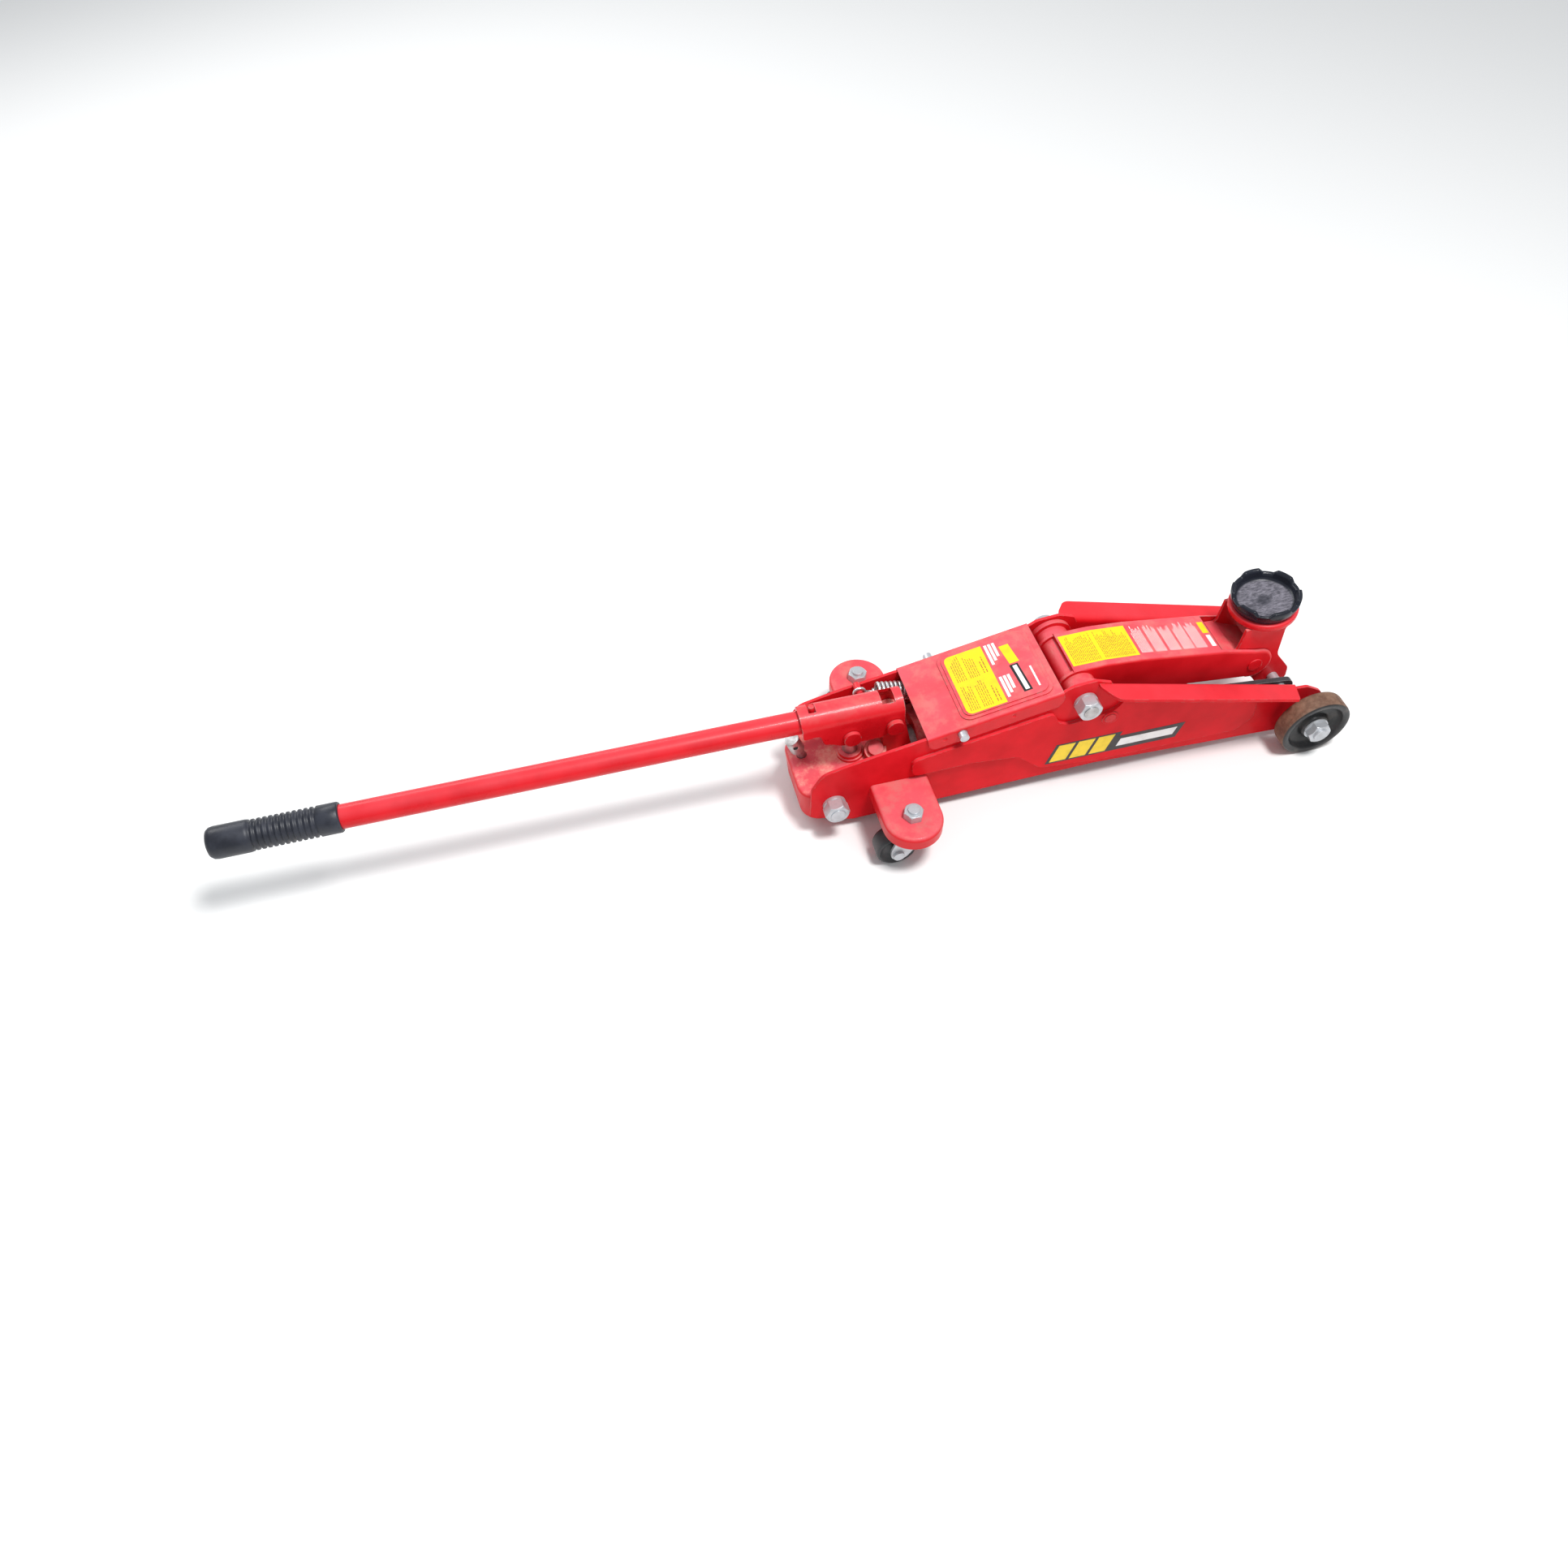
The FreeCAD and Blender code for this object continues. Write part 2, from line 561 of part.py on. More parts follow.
def ram_head():
    """Slotted head; the arm's ram pin rises and falls in the slot as the arm swings."""
    x, wide = LUG_PIN[0], RAM_PIN + 0.7
    tall = LUG_RISE / 2 + RAM_PIN + 0.8
    block = box(x - RAM_HEAD[0], x + RAM_HEAD[1], -8.7, 8.7, RAM_Z - tall - 3.8, RAM_Z + tall + 3.8)
    slot = side_view([(x - wide, RAM_Z - tall, 3), (x + wide, RAM_Z - tall, 3), (x + wide, RAM_Z + tall, 3),
                      (x - wide, RAM_Z + tall, 3)], -REACH, REACH)
    return block.cut(slot)


def pump_plunger():
    return upright(PUMP_PIN[0], 0, PLUNGER, 33.4, PLUNGER_TOP)


def plunger_head():
    """Slotted crosshead; the pump pin moves along the slot as the socket swings."""
    x0, x1, z0 = PUMP_PIN[0] - 8.3, PUMP_PIN[0] + 16.8, PLUNGER_TOP
    block = side_view([(x0, z0, 2.3), (x1, z0, 2.3), (x1, z0 + 16.9, 3), (x0, z0 + 16.9, 3)], -8.7, 8.7)
    slot = side_view([(x0 + 3.8, z0 + 4, 4.5), (x1 - 3.7, z0 + 4, 4.5), (x1 - 3.7, z0 + 13.1, 4.5),
                      (x0 + 3.8, z0 + 13.1, 4.5)], -REACH, REACH)
    return block.cut(slot)


# ---------------------------------------------------------------- lift arm
def arm_frame(shape):
    """Moves a shape from the arm's own line, where x runs from the main shaft to the saddle pin."""
    shape.rotate(V(0, 0, 0), V(0, -1, 0), ARM_ANGLE)
    shape.translate(V(PIVOT[0], 0, PIVOT[1]))
    return shape


def lift_arm():
    """Pressed channel, open below, with round ends at the saddle pin."""
    end, nose = ARM_LENGTH, ARM_NOSE
    web = [(*ARM_WEB[3], 4.6), (*ARM_WEB[2], 45.6), (*ARM_WEB[1], 45.6), (*ARM_WEB[0], 0)]
    outline = [(0, -13.3, 0), (end - 4.6, -13.3, 0), (end, -nose, 0), (end + nose, -nose, nose - 0.1),
               (end + nose, nose, nose - 0.1), (end - 4.6, nose, 7.6), *web, (ARM_WEB[0][0], 0, 0)]
    solid = side_view(outline, -ARM_HALF, ARM_HALF)
    long_top = [e for e in solid.Edges if abs(abs(e.CenterOfMass.y) - ARM_HALF) < EDGE * 100
                and e.CenterOfMass.z > 13.7 and e.CenterOfMass.x > 0]
    solid = solid.makeFillet(2.6, long_top)
    half = ARM_HALF - ARM_SHEET
    below = [(x, z - ARM_SHEET, 0) for x, z in reversed(ARM_WEB[1:])]
    front = below[0][0] - 2.3
    below[0] = (front, below[0][1], 0)
    hollow = side_view([(-12, -30.4, 0), (end + 30.4, -30.4, 0), (end + 30.4, 45.6, 0), (front, 45.6, 0),
                        *below, (-12, 13.6, 0)], -half, half)
    eye = across((0, 0), TUBE + ARM_SHEET, half, ARM_HALF)
    arm = arm_frame(fuse(solid.cut(hollow), eye, mirrored(eye)))
    return cut(arm, hole(PIVOT, TUBE), hole(ARM_PIN, BRACKET_PIN))


def arm_pivot_tube():
    """Pivot tube of the lift arm on the main shaft."""
    side = INSIDE - GAP
    return across(PIVOT, TUBE, -side, side).cut(hole(PIVOT, SHAFT + FIT))


def thrust_collar():
    return washer(PIVOT, 18.2, TUBE, 32.3, INSIDE - GAP)


def ram_lug():
    """Plate from the pivot tube down to the ram pin."""
    lug = link(PIVOT, LUG_PIN, TUBE - 2.3, 8.4, 9.1, 13.7)
    return cut(lug, hole(PIVOT, TUBE), hole(LUG_PIN, RAM_PIN))


def ram_pin():
    return across(LUG_PIN, RAM_PIN, -15.2, SPRING_Y + 2.6)


def saddle_bracket_pin():
    return across(ARM_PIN, BRACKET_PIN, -ARM_HALF - 0.9, ARM_HALF + 0.9)


# ---------------------------------------------------------------- saddle bracket and saddle
def saddle_bracket():
    """Folded bracket that the arm carries upright: two walls, a front web and a sloping rear web."""
    top = COLLAR_Z[0]
    rear = [(357.2, top, 0), (353.4, 69.9, 4.6), (339.7, 56.2, 4.6), (343.5, 38, 6.1), (372.4, 30.4, 7.6)]
    front = [(383.8, 12.2, 7.6), (407.4, 12.2, 7.6), (406.6, 28.9, 9.1), (392.2, 50.2, 15.2),
             (392.9, 80.6, 6.1), (399, top, 0)]
    half = BRACKET_HALF
    wall = side_view(rear + front, half - PLATE, half)
    front_web = side_view([(389.1, 50.2, 0), (391.8, 50.2, 0), (392.9, 80.6, 0), (399, top, 0),
                           (395.7, top, 0), (390.2, 81.3, 0)], -half, half)
    tray = side_view([(342.4, 68.4, 0), (351.9, 66.9, 0), (373.9, 55.5, 0), (373.9, 52.4, 0),
                      (351.1, 63.8, 0), (342.8, 65.0, 0)], -half, half)
    bracket = fuse(wall, mirrored(wall), front_web, tray)
    return cut(bracket, hole(ARM_PIN, BRACKET_PIN + FIT), hole(ROD_FRONT, ROD_PIN))


def saddle_collar():
    """Round seat on top of the bracket, with the sleeve that takes the saddle's stem."""
    z0, z1 = COLLAR_Z
    disc = upright(SADDLE_X, 0, SADDLE_RIM + 0.2, z0, z1)
    disc = disc.makeFillet(2.0, disc.Edges)
    sleeve = upright(SADDLE_X, 0, SADDLE_STEM + 1.9, SLEEVE_END, z1)
    return fuse(disc, sleeve).cut(upright(SADDLE_X, 0, SADDLE_STEM + FIT, 0, REACH))


def saddle():
    """Cup with a notched rim and a stem that turns in the collar."""
    z0 = COLLAR_Z[1] + GAP
    base = SADDLE_RIM - 2.6
    lip = Part.makeCone(base, SADDLE_RIM, CUP_FLARE, V(SADDLE_X, 0, z0))
    cup = fuse(lip, upright(SADDLE_X, 0, SADDLE_RIM, z0 + CUP_FLARE, SADDLE_TOP))
    cup = cut(cup, upright(SADDLE_X, 0, SADDLE_RIM - 4, z0 + 3.3, REACH))
    for i in range(SADDLE_NOTCHES):
        angle = 2 * math.pi * i / SADDLE_NOTCHES + 0.35
        x, y = SADDLE_X + SADDLE_RIM * math.cos(angle), SADDLE_RIM * math.sin(angle)
        cup = cup.cut(upright(x, y, 6.8, SADDLE_TOP - 3, REACH))
    stem = upright(SADDLE_X, 0, SADDLE_STEM, CIRCLIP[0] - 1.1, z0 + 1)
    return fuse(cup, stem).cut(ring(SADDLE_STEM + 1, CIRCLIP_GROOVE, *CIRCLIP))


def ring(outer, inner, z0, z1):
    """Flat ring about the saddle's axis."""
    return upright(SADDLE_X, 0, outer, z0, z1).cut(upright(SADDLE_X, 0, inner, 0, REACH))


def saddle_circlip():
    return ring(SADDLE_STEM + 1.9, CIRCLIP_GROOVE, *CIRCLIP)


def rod_front_pin():
    """Pin welded through the bracket's wall for the front end of a radius rod."""
    return across(ROD_FRONT, ROD_PIN, BRACKET_HALF - PLATE, ROD_Y[1] + 2.3)


def radius_rod():
    """Flat bar that keeps the saddle level; its front eye is a clearance hole."""
    tip = (ROD_FRONT[0] + 4.6, ROD_FRONT[1] - 1.1)
    bar = fuse(link(ROD_FRAME, ROD_FRONT, ROD_EYE, ROD_EYE - 0.01, *ROD_Y),
               link(ROD_FRONT, tip, ROD_EYE, ROD_EYE - 0.01, *ROD_Y))
    return cut(bar, hole(ROD_FRAME, ROD_PIN + FIT), hole(ROD_FRONT, ROD_PIN + GAP))


# ---------------------------------------------------------------- handle
def along_handle(x0, x1, radius):
    return rod((x0, 0, handle_z(x0)), (x1, 0, handle_z(x1)), radius)


def handle_socket():
    """Pressed socket: half-round over the handle, cheeks down to the pivot and the pump pin."""
    outline = [(-12.9, 94.2, 1.5), (0.8, 93.5, 3), (3, 82.8, 4.6), (18.2, 75.2, 9.1), (50.9, 73, 10.6),
               (69.9, 78.3, 6.1), (72.2, 114, 0), (-12.9, 121.6, 0)]
    half = SOCKET_HALF
    outside = fuse(along_handle(-REACH, REACH, half), under_handle(-REACH, half))
    inside = fuse(along_handle(-REACH, REACH, SOCKET_BORE), under_handle(-3, half - SOCKET_SHEET))
    socket = side_view(outline, -half, half).common(outside).cut(inside)
    window = box(54, 64.6, -7.6, 8.4, 91.2, REACH)
    return cut(socket, window, hole(SOCKET_PIN, SMALL_PIN + FIT), hole(PUMP_PIN, SMALL_PIN), lock_slot())


def under_handle(x0, half):
    """Block below the handle's axis, in line with it."""
    block = end_view([(-half, -60.8, 0), (half, -60.8, 0), (half, 0, 0), (-half, 0, 0)], x0, REACH)
    block.rotate(V(0, 0, 0), V(0, 1, 0), HANDLE_SLOPE)
    block.translate(V(0, 0, handle_z(0)))
    return block


def lock_slot():
    """J-shaped slot in the socket's crown: a leg round the handle and a leg out to the rear."""
    z = handle_z(LOCK_X)
    tall = SOCKET_HALF + 9.9
    first, last = (tall * math.tan(math.radians(turn)) for turn in LOCK_TURN)
    turn = end_view([(0, z, 0), (first, z + tall, 0), (last, z + tall, 0)],
                    LOCK_X - LOCK_SLOT, LOCK_X + LOCK_SLOT)
    way_out = box(-REACH, LOCK_X, 8.7, SOCKET_HALF, z + 1.5, z + tall)
    return fuse(turn, way_out)


def headed_pin(place, head):
    """Pin through the socket with a flat head of the given height on its right side."""
    shank = across(place, SMALL_PIN, -SOCKET_HALF - GAP, SOCKET_HALF + 3)
    return fuse(shank, across(place, PIN_HEAD, -SOCKET_HALF - GAP - head, -SOCKET_HALF - GAP))


def socket_pin():
    """Pivot pin through the socket and the pump block's lug."""
    return headed_pin(SOCKET_PIN, 4.2)


def pump_pin():
    return headed_pin(PUMP_PIN, 3.4)


def handle_tube():
    outer = along_handle(HANDLE_END_X + 2.3, 14.5, HANDLE)
    return cut(outer, along_handle(HANDLE_END_X - 7.6, 53.2, HANDLE - 1.5), lock_pin_bar())


def lock_pin_bar():
    z = handle_z(LOCK_X)
    return rod((LOCK_X, 0, z + HANDLE - 2.5), (LOCK_X, 0, z + 16), LOCK_PIN)


def handle_lock_pin():
    return lock_pin_bar()


def handle_grip():
    """Rubber grip: rounded end, plain length, ribs, and a collar at the front."""
    plain = rod((0, 0, 0), (31.2, 0, 0), 12.5)
    plain = plain.makeFillet(3.8, [e for e in plain.Edges if e.BoundBox.XMax < 1])
    body = fuse(plain, rod((30.4, 0, 0), (GRIP_LENGTH, 0, 0), 10.8))
    body = fuse(body, rod((79.8, 0, 0), (GRIP_LENGTH, 0, 0), RIB))
    for i in range(RIBS):
        start = 32.7 + 4.3 * i
        body = fuse(body, rod((start, 0, 0), (start + 2.6, 0, 0), RIB))
    body = body.cut(rod((2.3, 0, 0), (GRIP_LENGTH + 1, 0, 0), HANDLE))
    body.rotate(V(0, 0, 0), V(0, 1, 0), HANDLE_SLOPE)
    body.translate(V(HANDLE_END_X, 0, handle_z(HANDLE_END_X)))
    return body


# ---------------------------------------------------------------- running gear
def front_wheel():
    """Cast wheel with a dished outer face."""
    y0, y1 = WHEEL_Y
    tread = across(AXLE, WHEEL, y0, y1)
    tread = tread.makeFillet(1.9, [e for e in tread.Edges if e.Length > 5 * WHEEL])
    dish = Part.makeCone(22.8, 19, 5.3, V(AXLE[0], y1, AXLE[1]), V(0, -1, 0))
    back = Part.makeCone(22.8, 19.8, 3.8, V(AXLE[0], y0, AXLE[1]), V(0, 1, 0))
    wheel = fuse(tread.cut(dish).cut(back), across(AXLE, 11.8, y0, y1 - WHEEL_DISH - GAP))
    return wheel.cut(hole(AXLE, BOLT + FIT))


def caster_fork():
    """Swivel fork of the left caster, trailing to the rear."""
    x, y = CASTER
    z = CASTER_PLATE_Z - PLATE - GAP
    axle_x, axle_z = CASTER_AXLE_AT
    low = axle_z - 6.1
    outline = [(axle_x - 6.1, low, 6.0), (axle_x + 6.1, low, 6.0), (x + 9.1, z - 9.1, 3), (x + 9.1, z - 3, 0),
               (x - 12.9, z - 3, 0), (x - 15.2, z - 9.1, 3), (axle_x - 6.1, 22.8, 7.6)]
    inner, outer = FORK_Y
    legs = [side_view(outline, y + inner, y + outer), side_view(outline, y - outer, y - inner)]
    bridge = box(x - 12.9, x + 9.1, y - outer, y + outer, z - 5.7, z - 3)
    fork = fuse(upright(x, y, 12.9, z - 5.7, z - 3), upright(x, y, 10.6, z - 3, z), *legs, bridge)
    return cut(fork, upright(x, y, KINGPIN + FIT, 0, REACH), hole(CASTER_AXLE_AT, CASTER_AXLE))


def caster_axle():
    y = CASTER[1]
    leg = FORK_Y[1]
    end = leg + 2.3
    heads = [across(CASTER_AXLE_AT, 4.6, y - end, y - leg), across(CASTER_AXLE_AT, 4.6, y + leg, y + end)]
    return fuse(across(CASTER_AXLE_AT, CASTER_AXLE, y - end + 1, y + end - 1), *heads)


def caster_wheel():
    y = CASTER[1]
    wheel = across(CASTER_AXLE_AT, CASTER_WHEEL, y - 8, y + 8)
    wheel = wheel.makeFillet(1.5, [e for e in wheel.Edges if e.Length > 4 * CASTER_WHEEL])
    hub = across(CASTER_AXLE_AT, 6.1, y - FORK_Y[0] + GAP, y + FORK_Y[0] - GAP)
    return fuse(wheel, hub).cut(hole(CASTER_AXLE_AT, CASTER_AXLE + FIT))


# ---------------------------------------------------------------- return spring
def return_spring():
    """Return spring from the anchor stud to the ram pin; its coils are one tube of their outer size."""
    start = V(SPRING_ANCHOR[0], SPRING_Y, SPRING_ANCHOR[1])
    end = V(LUG_PIN[0], SPRING_Y, LUG_PIN[1])
    way = (end - start).normalize()
    first, last = COIL_ENDS
    outer, inner = COIL
    coil = rod(start + way * first, start + way * last, outer)
    coil = coil.cut(rod(start + way * (first + COIL_CAP), start + way * (last - COIL_CAP), inner))
    hooks = [washer(SPRING_ANCHOR, ANCHOR + 2 * WIRE, ANCHOR, SPRING_Y - WIRE, SPRING_Y + WIRE),
             washer(LUG_PIN, RAM_PIN + 2 * WIRE, RAM_PIN, SPRING_Y - WIRE, SPRING_Y + WIRE)]
    wires = [rod(start + way * (ANCHOR + WIRE), start + way * (first + 1), WIRE),
             rod(start + way * (last - 1), end - way * (RAM_PIN + WIRE), WIRE)]
    return cut(fuse(coil, *hooks, *wires), hole(SPRING_ANCHOR, ANCHOR), hole(LUG_PIN, RAM_PIN))


# ---------------------------------------------------------------- output
LEVEL = ("caster_bracket", "caster_kingpins", "caster_nuts", "caster_fork", "caster_axle", "caster_wheel",
         "front_wheel", "stub_axles", "hub_washers", "hub_nuts")


def save(name, shape):
    piece = shape.copy()
    if not name.startswith(LEVEL):
        piece.rotate(V(FOOT, 0, 0), V(0, -1, 0), LEAN)
    piece.translate(V(TO_CENTRE, 0, 0))
    piece.exportStep("parts/%s.step" % name)


def main():
    os.makedirs("parts", exist_ok=True)
    for maker in (side_plate, caster_bracket, radius_rod, front_wheel, caster_fork, caster_axle,
                  caster_wheel):
        save(maker.__name__ + "_left", maker())
        save(maker.__name__ + "_right", mirrored(maker()))
    for name, shape in (("main_nuts", shaft_nut(PIVOT)), ("main_washers", shaft_washer(PIVOT)),
                        ("rear_nuts", shaft_nut(TIE)), ("rear_washers", shaft_washer(TIE))):
        save(name, both(shape))
    for maker in (cover_pin, stub_axle, hub_washer, hub_nut, caster_kingpin, caster_nut, rod_pivot_pin,
                  rod_front_pin, thrust_collar, ram_lug):
        save(maker.__name__ + "s", both(maker()))
    for maker in (top_cover, front_tie_plate, main_shaft, rear_tie_bolt, spring_anchor, pump_block,
                  pump_gland, filler_plug, release_valve, reservoir_tube, ram_cylinder, cylinder_gland,
                  ram_piston, piston_seal, ram_head, pump_plunger, plunger_head, lift_arm, arm_pivot_tube,
                  ram_pin, saddle_bracket_pin, saddle_bracket, saddle_collar, saddle, saddle_circlip,
                  handle_socket, socket_pin, pump_pin, handle_tube, handle_lock_pin, handle_grip,
                  return_spring):
        save(maker.__name__, maker())


main()
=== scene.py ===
"""Looks of the trolley jack: materials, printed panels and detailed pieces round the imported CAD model.

Lengths are in millimetres in the tables of shapes and prints, and in metres for the camera, the lamps, the
floor and the materials. "Along", "out" and "up" are the chassis's own directions, measured from the middle of
the main shaft; the chassis leans nose-up, so they aren't quite X, Y and Z.
"""
import json
import math
import random

import bmesh
import bpy
from mathutils import Euler, Matrix, Vector


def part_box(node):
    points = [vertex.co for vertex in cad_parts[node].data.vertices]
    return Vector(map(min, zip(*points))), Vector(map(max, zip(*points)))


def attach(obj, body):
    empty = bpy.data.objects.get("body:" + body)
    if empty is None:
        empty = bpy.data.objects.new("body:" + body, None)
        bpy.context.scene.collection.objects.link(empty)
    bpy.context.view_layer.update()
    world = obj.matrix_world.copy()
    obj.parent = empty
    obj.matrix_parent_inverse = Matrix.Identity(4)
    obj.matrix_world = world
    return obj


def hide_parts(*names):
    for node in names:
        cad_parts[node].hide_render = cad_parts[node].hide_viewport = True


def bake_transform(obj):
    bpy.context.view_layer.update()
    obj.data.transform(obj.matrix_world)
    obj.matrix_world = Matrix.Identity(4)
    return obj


MM = 0.001
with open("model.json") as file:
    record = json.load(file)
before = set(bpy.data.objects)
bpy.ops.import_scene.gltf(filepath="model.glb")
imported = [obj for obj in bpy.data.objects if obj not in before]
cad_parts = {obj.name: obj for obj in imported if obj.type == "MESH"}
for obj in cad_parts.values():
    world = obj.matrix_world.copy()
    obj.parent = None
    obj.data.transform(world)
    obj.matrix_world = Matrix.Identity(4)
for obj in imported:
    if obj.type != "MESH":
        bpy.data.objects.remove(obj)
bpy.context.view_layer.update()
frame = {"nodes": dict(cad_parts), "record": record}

# ---------------------------------------------------------------- camera and light
CAMERA_AT = (-0.17235, -0.61677, 0.82184)
CAMERA_TURN = (38.464, 0.606, -14.438)     # degrees
LENS, SENSOR = 28.08, 36                   # millimetres
NEAREST = 0.01                             # the camera shows nothing nearer
SKY_COLOUR, SKY_STRENGTH = (0.93, 0.96, 1.0, 1), 0.55
LAMPS_FACE = (0, 0, 0.05)
LAMPS = (                                  # name, place, size, watts
    ("key_light", (0.45, -0.5, 2.05), (0.45, 0.45), 40),
    ("rim_light", (-0.7, 1.5, 1.2), (1.6, 0.7), 14),
)
FLOOR_REACH = 6.0                          # from the middle to each edge
FLOOR_COLOUR, FLOOR_ROUGHNESS = (0.86, 0.86, 0.85, 1), 0.8


def add_camera():
    camera = bpy.data.objects.new("camera", bpy.data.cameras.new("camera"))
    camera.location = CAMERA_AT
    camera.rotation_euler = Euler([math.radians(a) for a in CAMERA_TURN])
    camera.data.lens = LENS
    camera.data.sensor_width = SENSOR
    camera.data.clip_start = NEAREST
    bpy.context.collection.objects.link(camera)
    bpy.context.scene.camera = camera


def add_softbox(name, at, size, watts):
    lamp = bpy.data.lights.new(name, "AREA")
    lamp.shape = "RECTANGLE"
    lamp.size, lamp.size_y = size
    lamp.energy = watts
    holder = bpy.data.objects.new(name, lamp)
    holder.location = at
    holder.rotation_euler = (Vector(LAMPS_FACE) - Vector(at)).to_track_quat("-Z", "Y").to_euler()
    bpy.context.collection.objects.link(holder)


def add_floor():
    reach = FLOOR_REACH
    corners = [(-reach, -reach, 0), (reach, -reach, 0), (reach, reach, 0), (-reach, reach, 0)]
    floor = bpy.data.meshes.new("floor")
    floor.from_pydata(corners, [], [(0, 1, 2, 3)])
    ground = bpy.data.objects.new("floor", floor)
    bpy.context.collection.objects.link(ground)
    plain, _, shader = new_material("floor_pale")
    shader.inputs["Base Color"].default_value = FLOOR_COLOUR
    shader.inputs["Roughness"].default_value = FLOOR_ROUGHNESS
    ground.data.materials.append(plain)


def add_studio():
    world = bpy.data.worlds.new("studio")
    world.use_nodes = True
    sky = world.node_tree.nodes["Background"]
    sky.inputs["Color"].default_value = SKY_COLOUR
    sky.inputs["Strength"].default_value = SKY_STRENGTH
    bpy.context.scene.world = world
    for lamp in LAMPS:
        add_softbox(*lamp)
    add_floor()
    bpy.context.scene.view_settings.view_transform = "Standard"


# ---------------------------------------------------------------- material tools
def new_material(name):
    material = bpy.data.materials.new(name)
    material.use_nodes = True
    tree = material.node_tree
    return material, tree, tree.nodes["Principled BSDF"]


def node(tree, kind, inputs=None, **settings):
    made = tree.nodes.new(kind)
    for key, value in settings.items():
        setattr(made, key, value)
    for key, value in (inputs or {}).items():
        if isinstance(value, bpy.types.NodeSocket):
            tree.links.new(value, made.inputs[key])
        else:
            made.inputs[key].default_value = value
    return made


def place_of(tree, stretch=(1, 1, 1)):
    """Object coordinates, stretched per axis."""
    where = node(tree, "ShaderNodeTexCoord")
    return node(tree, "ShaderNodeMapping", {"Vector": where.outputs["Object"], "Scale": stretch}).outputs[0]


def speckle(tree, scale, detail=4.0, roughness=0.55, stretch=(1, 1, 1)):
    """Noise from 0 to 1; a larger scale makes smaller spots."""
    inputs = {"Vector": place_of(tree, stretch), "Scale": scale, "Detail": detail, "Roughness": roughness}
    return node(tree, "ShaderNodeTexNoise", inputs).outputs["Fac"]


def band(tree, value, low, high, start=0.0):
    """Value mapped smoothly from low..high to start..1."""
    inputs = {"Value": value, "From Min": low, "From Max": high, "To Min": start, "To Max": 1.0}
    return node(tree, "ShaderNodeMapRange", inputs, interpolation_type="SMOOTHSTEP").outputs[0]


def maths(tree, operation, first, second):
    """Two values combined, kept between 0 and 1."""
    made = node(tree, "ShaderNodeMath", {0: first, 1: second}, operation=operation, use_clamp=True)
    return made.outputs[0]


def times(tree, product, *factors):
    for factor in factors:
        product = maths(tree, "MULTIPLY", product, factor)
    return product


def blend_colour(tree, factor, first, second):
    made = node(tree, "ShaderNodeMix", {0: factor, 6: first, 7: second}, data_type="RGBA")
    return made.outputs[2]


def blend_value(tree, factor, first, second):
    return node(tree, "ShaderNodeMix", {0: factor, 2: first, 3: second}, data_type="FLOAT").outputs[0]


def facing(tree, axis):
    """How much the surface faces along an axis of its own object, -1 to 1."""
    normal = node(tree, "ShaderNodeTexCoord").outputs["Normal"]
    parts = node(tree, "ShaderNodeSeparateXYZ", {0: normal})
    return parts.outputs[axis]


def distance_from_axis(tree, mask):
    """Distance from an axis of the piece itself; the mask is 0 for that axis and 1 for the others."""
    where = node(tree, "ShaderNodeTexCoord").outputs["Object"]
    flat = node(tree, "ShaderNodeVectorMath", {0: where, 1: mask}, operation="MULTIPLY").outputs[0]
    return node(tree, "ShaderNodeVectorMath", {0: flat}, operation="LENGTH").outputs["Value"]


def edge_mask(tree, radius):
    """1 on sharp edges, 0 on flat ground."""
    soft = node(tree, "ShaderNodeBevel", {"Radius": radius}, samples=4)
    true_normal = node(tree, "ShaderNodeNewGeometry").outputs["Normal"]
    match = node(tree, "ShaderNodeVectorMath", {0: soft.outputs[0], 1: true_normal}, operation="DOT_PRODUCT")
    return band(tree, match.outputs["Value"], 0.97, 0.80)


def relief(tree, shader, height, strength, distance, round_edges):
    """Bump from a height, on top of slightly rounded edges."""
    soft = node(tree, "ShaderNodeBevel", {"Radius": round_edges}, samples=4).outputs[0]
    inputs = {"Height": height, "Strength": strength, "Distance": distance, "Normal": soft}
    bump = node(tree, "ShaderNodeBump", inputs)
    tree.links.new(bump.outputs[0], shader.inputs["Normal"])


# ---------------------------------------------------------------- materials
RED_DEEP = (0.60, 0.006, 0.011, 1)
RED_BRIGHT = (0.74, 0.011, 0.019, 1)
DUSTY_PINK = (0.74, 0.115, 0.145, 1)
DRY_DUST = (0.50, 0.27, 0.21, 1)
CASTING_DUST = (0.84, 0.40, 0.31, 1)
BARE_METAL = (0.30, 0.27, 0.25, 1)
DUST_ROUGHNESS = 0.62
STAIN_TINT = (0.55, 0.52, 0.50)            # what a stain leaves of the metal's own colour
RUBBED_EDGE = (0.85, 0.85, 0.84, 1)
RUST_DARK, RUST_LIGHT = (0.115, 0.052, 0.030, 1), (0.24, 0.135, 0.085, 1)
TREAD_DIRT = (0.05, 0.04, 0.04, 1)
WHEEL_PAINT, WHEEL_DUST = (0.012, 0.012, 0.013, 1), (0.055, 0.045, 0.04, 1)
TREAD_FROM, TREAD_FULL = 0.0284, 0.0292    # radii between which the paint gives way to rust
ENAMEL_DARK, ENAMEL_LIGHT = (0.006, 0.007, 0.011, 1), (0.016, 0.019, 0.030, 1)
SCUFF_DARK, SCUFF_LIGHT = (0.056, 0.054, 0.068, 1), (0.225, 0.212, 0.250, 1)
CUP_EDGE, CUP_FLOOR = 0.0225, 0.0205       # radii between which the scuffs start
CUP_DIMPLE, CUP_RING = 0.003, 0.0085       # radii between which they reach their full strength
INK_ROUGHNESS = 0.38
INK_WEAR = 0.82                            # what wear leaves of the ink's brightness


